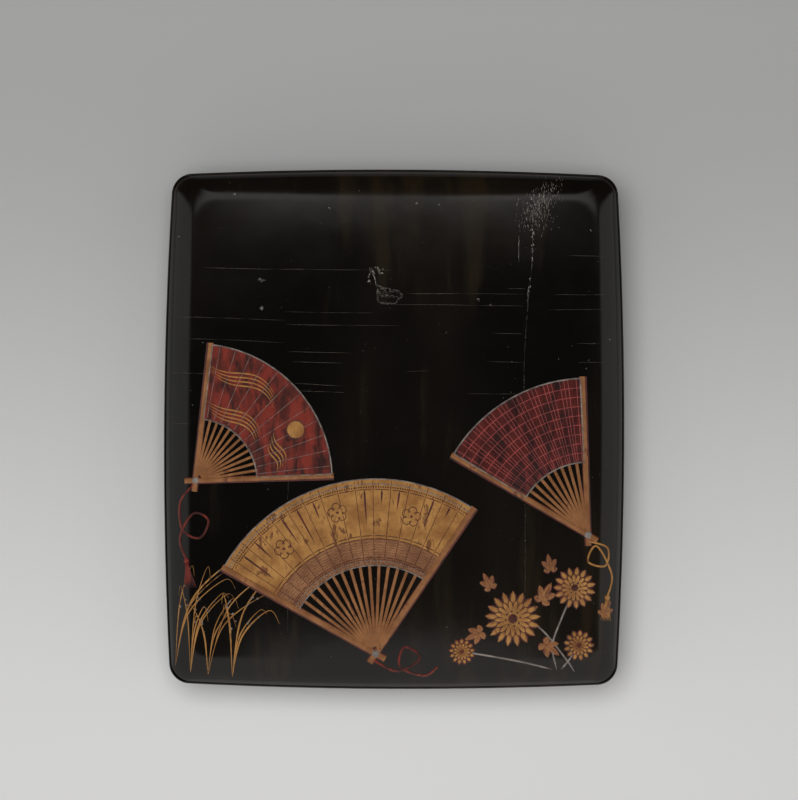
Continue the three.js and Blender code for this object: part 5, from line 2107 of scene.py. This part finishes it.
def gilt_copper():
    """Worn gilding with warm copper showing in clouds and fine scratches."""
    s = Shader("gilt_copper")
    wear = s.noise(s.place(), 140, 5, 0.62)
    fine = s.streaks((1600, 300, 900), turn=0.8)
    tone = s.mix(s.steps(wear, 0.5, 0.68), (0.83, 0.55, 0.19), (0.48, 0.19, 0.09))
    tone = s.mix(s.steps(fine, 0.6, 0.8, 0, 0.35), tone, (0.24, 0.12, 0.05))
    roughness = s.steps(wear, 0.3, 0.75, 0.24, 0.46)
    return s.set(tone, roughness, Metallic=1.0, Normal=s.bump(fine, 0.00004, 0.5))


def ink_cake():
    s = Shader("ink_cake")
    here = s.place()
    cloud = s.noise(here, 150, 4, 0.6)
    tone = s.mix(s.steps(cloud, 0.35, 0.7), (0.009, 0.009, 0.011), (0.026, 0.025, 0.028))
    roughness = s.steps(cloud, 0.3, 0.7, 0.38, 0.6)
    return s.set(tone, roughness, Normal=s.bump(s.noise(here, 1100, 3), 0.00008, 0.7))


def make_interior(lacquer, flecked):
    bamboo = bamboo_cane("bamboo_cane", (0.50, 0.31, 0.12), (0.30, 0.155, 0.05))
    joint_tone = bamboo_cane("bamboo_joint", (0.17, 0.075, 0.025), (0.09, 0.035, 0.012))
    gilt = gilt_copper()
    steel = plain_metal("steel", (0.50, 0.50, 0.51), (0.34, 0.34, 0.35), 0.75, 0.34, 0.5)
    pale_hair = brush_hair("pale_hair", (0.66, 0.53, 0.36), (0.38, 0.27, 0.16))
    tip_hair = brush_hair("tip_hair", (0.34, 0.23, 0.14), (0.12, 0.075, 0.045))
    gold_line = gold_powder("gold_line", (0.40, 0.235, 0.085), (0.215, 0.105, 0.036), 0.6)
    make_body(flecked, lacquer)
    make_tray(-1, "left_tray", flecked, lacquer)
    make_tray(1, "right_tray", flecked, lacquer)
    soften("board_panel", "centre_board", 0.4, flecked, "centre_board", "flecked_lacquer")
    make_inkstone(dark_slate())
    make_dropper(gilt)
    for node in ("brush_rest_front", "brush_rest_rear"):
        soften(f"{node}_bar", node, 0.45, lacquer, "left_tray", "black_lacquer")
    for which, brush in (("large", LARGE_BRUSH), ("small", SMALL_BRUSH)):
        make_brush(which, brush, bamboo, pale_hair, tip_hair, joint_tone)
    make_ink_stick(ink_cake(), gold_line)
    make_knife(bamboo, lacquer, steel, joint_tone)
    make_pricker(bamboo, gilt, steel)


# Stage

FRAME_CENTRE = (399, 400)
CAMERA_DISTANCE = 1300
CAMERA_TILT = math.radians(1.6)
CAMERA_ROLL = math.radians(0.2)
SENSOR = 36
FLOOR_RADIUS = 4000
FLOOR_STEPS = 64
LAMP_PLACE = Vector((-0.12, 0.08, 1.42))
LAMP_SIZE = 0.8
LAMP_POWER = 14.5


def make_camera():
    data = bpy.data.cameras.new("camera")
    camera = linked("camera", data)
    aim = Vector((*from_photo(*FRAME_CENTRE), LEDGE_Z))
    back = Vector((0, -math.sin(CAMERA_TILT), math.cos(CAMERA_TILT)))
    camera.location = (aim + back * CAMERA_DISTANCE) * MM
    camera.rotation_euler = (CAMERA_TILT, 0, CAMERA_ROLL)
    data.sensor_width = SENSOR
    data.lens = SENSOR * CAMERA_DISTANCE / (PHOTO_SIZE / PHOTO_SCALE)
    data.clip_start = 0.05
    data.clip_end = 20
    bpy.context.scene.camera = camera


def make_floor():
    """Pale paper with painted shade: its colour is made darker away from the front, standing in for
    the fall-off of light on a lit table.
    """
    s = Shader("floor_paper_painted_shade")
    y = s.split(s.place())[1]
    # Painted shade: the paper's colour darkens from the front to the back, and darker still far
    # behind, in place of light falling off.
    tone = s.mix(s.steps(y, -0.17, 0.17), (0.66, 0.66, 0.66), (0.36, 0.36, 0.36))
    tone = s.mix(s.steps(y, 0.19, 0.32), tone, (0.17, 0.17, 0.17))
    floor = Shape()
    ring = circle((0, 0), FLOOR_RADIUS, FLOOR_STEPS)
    floor.add([(x, y, 0) for x, y in ring], [tuple(range(FLOOR_STEPS))])
    floor.build("floor", s.set(tone, 0.9, Specular_IOR_Level=0.1))


def make_world():
    """Pale walls to the left, the right and the front, and dark overhead and behind, but for
    one pale strip. Across and along say where a direction meets a ceiling one unit up."""
    world = bpy.data.worlds.new("studio")
    bpy.context.scene.world = world
    world.use_nodes = True
    s = Nodes(world.node_tree)
    x, y, z = s.split(s.new("TexCoord").outputs["Generated"])

    def highest(a, b):
        return s.math("MAXIMUM", a, b)

    def fade(value, low, high):
        return s.steps(value, low, high, 1, 0)

    up = highest(z, 0.02)
    sideways = s.math("DIVIDE", x, up)
    across = highest(s.times(sideways, 0.82), s.times(sideways, -1.0))
    along_y = s.math("DIVIDE", y, up)
    lit = highest(s.steps(across, 0.34, 0.5), s.steps(s.times(along_y, -1.0), 0.168, 0.228))
    half_x = s.times(s.math("ABSOLUTE", x), 0.5)
    behind = s.steps(s.math("SUBTRACT", half_x, y), -0.1, 0.12)
    walls = s.times(lit, behind)
    leaning = s.math("ADD", along_y, s.times(across, 0.4))
    glow = s.steps(leaning, 0.2, 0.27, 0, 0.17)
    near = s.math("ADD", s.steps(leaning, 0.255, 0.3, 0, 0.83), glow)
    opening = s.math("SUBTRACT", along_y, s.times(across, 2.0))
    ends = s.times(fade(opening, 0.24, 0.36), fade(across, 0.12, 0.4))
    strip = s.times(s.times(near, ends), 1.7)
    ceiling = s.steps(along_y, 0.3, 0.9, 0.05, 0)
    skirting = s.times(s.times(fade(z, 0.06, 0.2), behind), 0.75)
    light = highest(highest(walls, s.math("ADD", strip, ceiling)), skirting)
    strength = s.times(s.math("ADD", light, 0.03), 0.5)
    background = s.new("Background", {"Color": (1, 0.985, 0.96), "Strength": strength})
    s.new("OutputWorld", {"Surface": background.outputs[0]})


def make_lamp():
    data = bpy.data.lights.new("key", "AREA")
    data.shape = "DISK"
    data.size = LAMP_SIZE
    data.energy = LAMP_POWER
    lamp = linked("key", data)
    lamp.location = LAMP_PLACE
    lamp.rotation_euler = (-LAMP_PLACE).to_track_quat("-Z", "Y").to_euler()
    lamp.visible_glossy = False


# Assembly

bpy.context.scene.view_settings.view_transform = "Standard"
make_camera()
make_world()
make_lamp()
make_floor()
lacquer = black_lacquer()
flecked = flecked_lacquer()
make_lid(lacquer, flecked)
clay = bare_ground("clay", (0.40, 0.37, 0.33), (0.030, 0.027, 0.025))
dark_clay = bare_ground("dark_clay", (0.105, 0.09, 0.07), (0.02, 0.017, 0.013))
make_cracks(dark_clay)
make_seam_lines(lacquer)
make_chips(clay)
make_crazing(clay)
make_dust(clay)
make_decoration()
make_interior(lacquer, flecked)
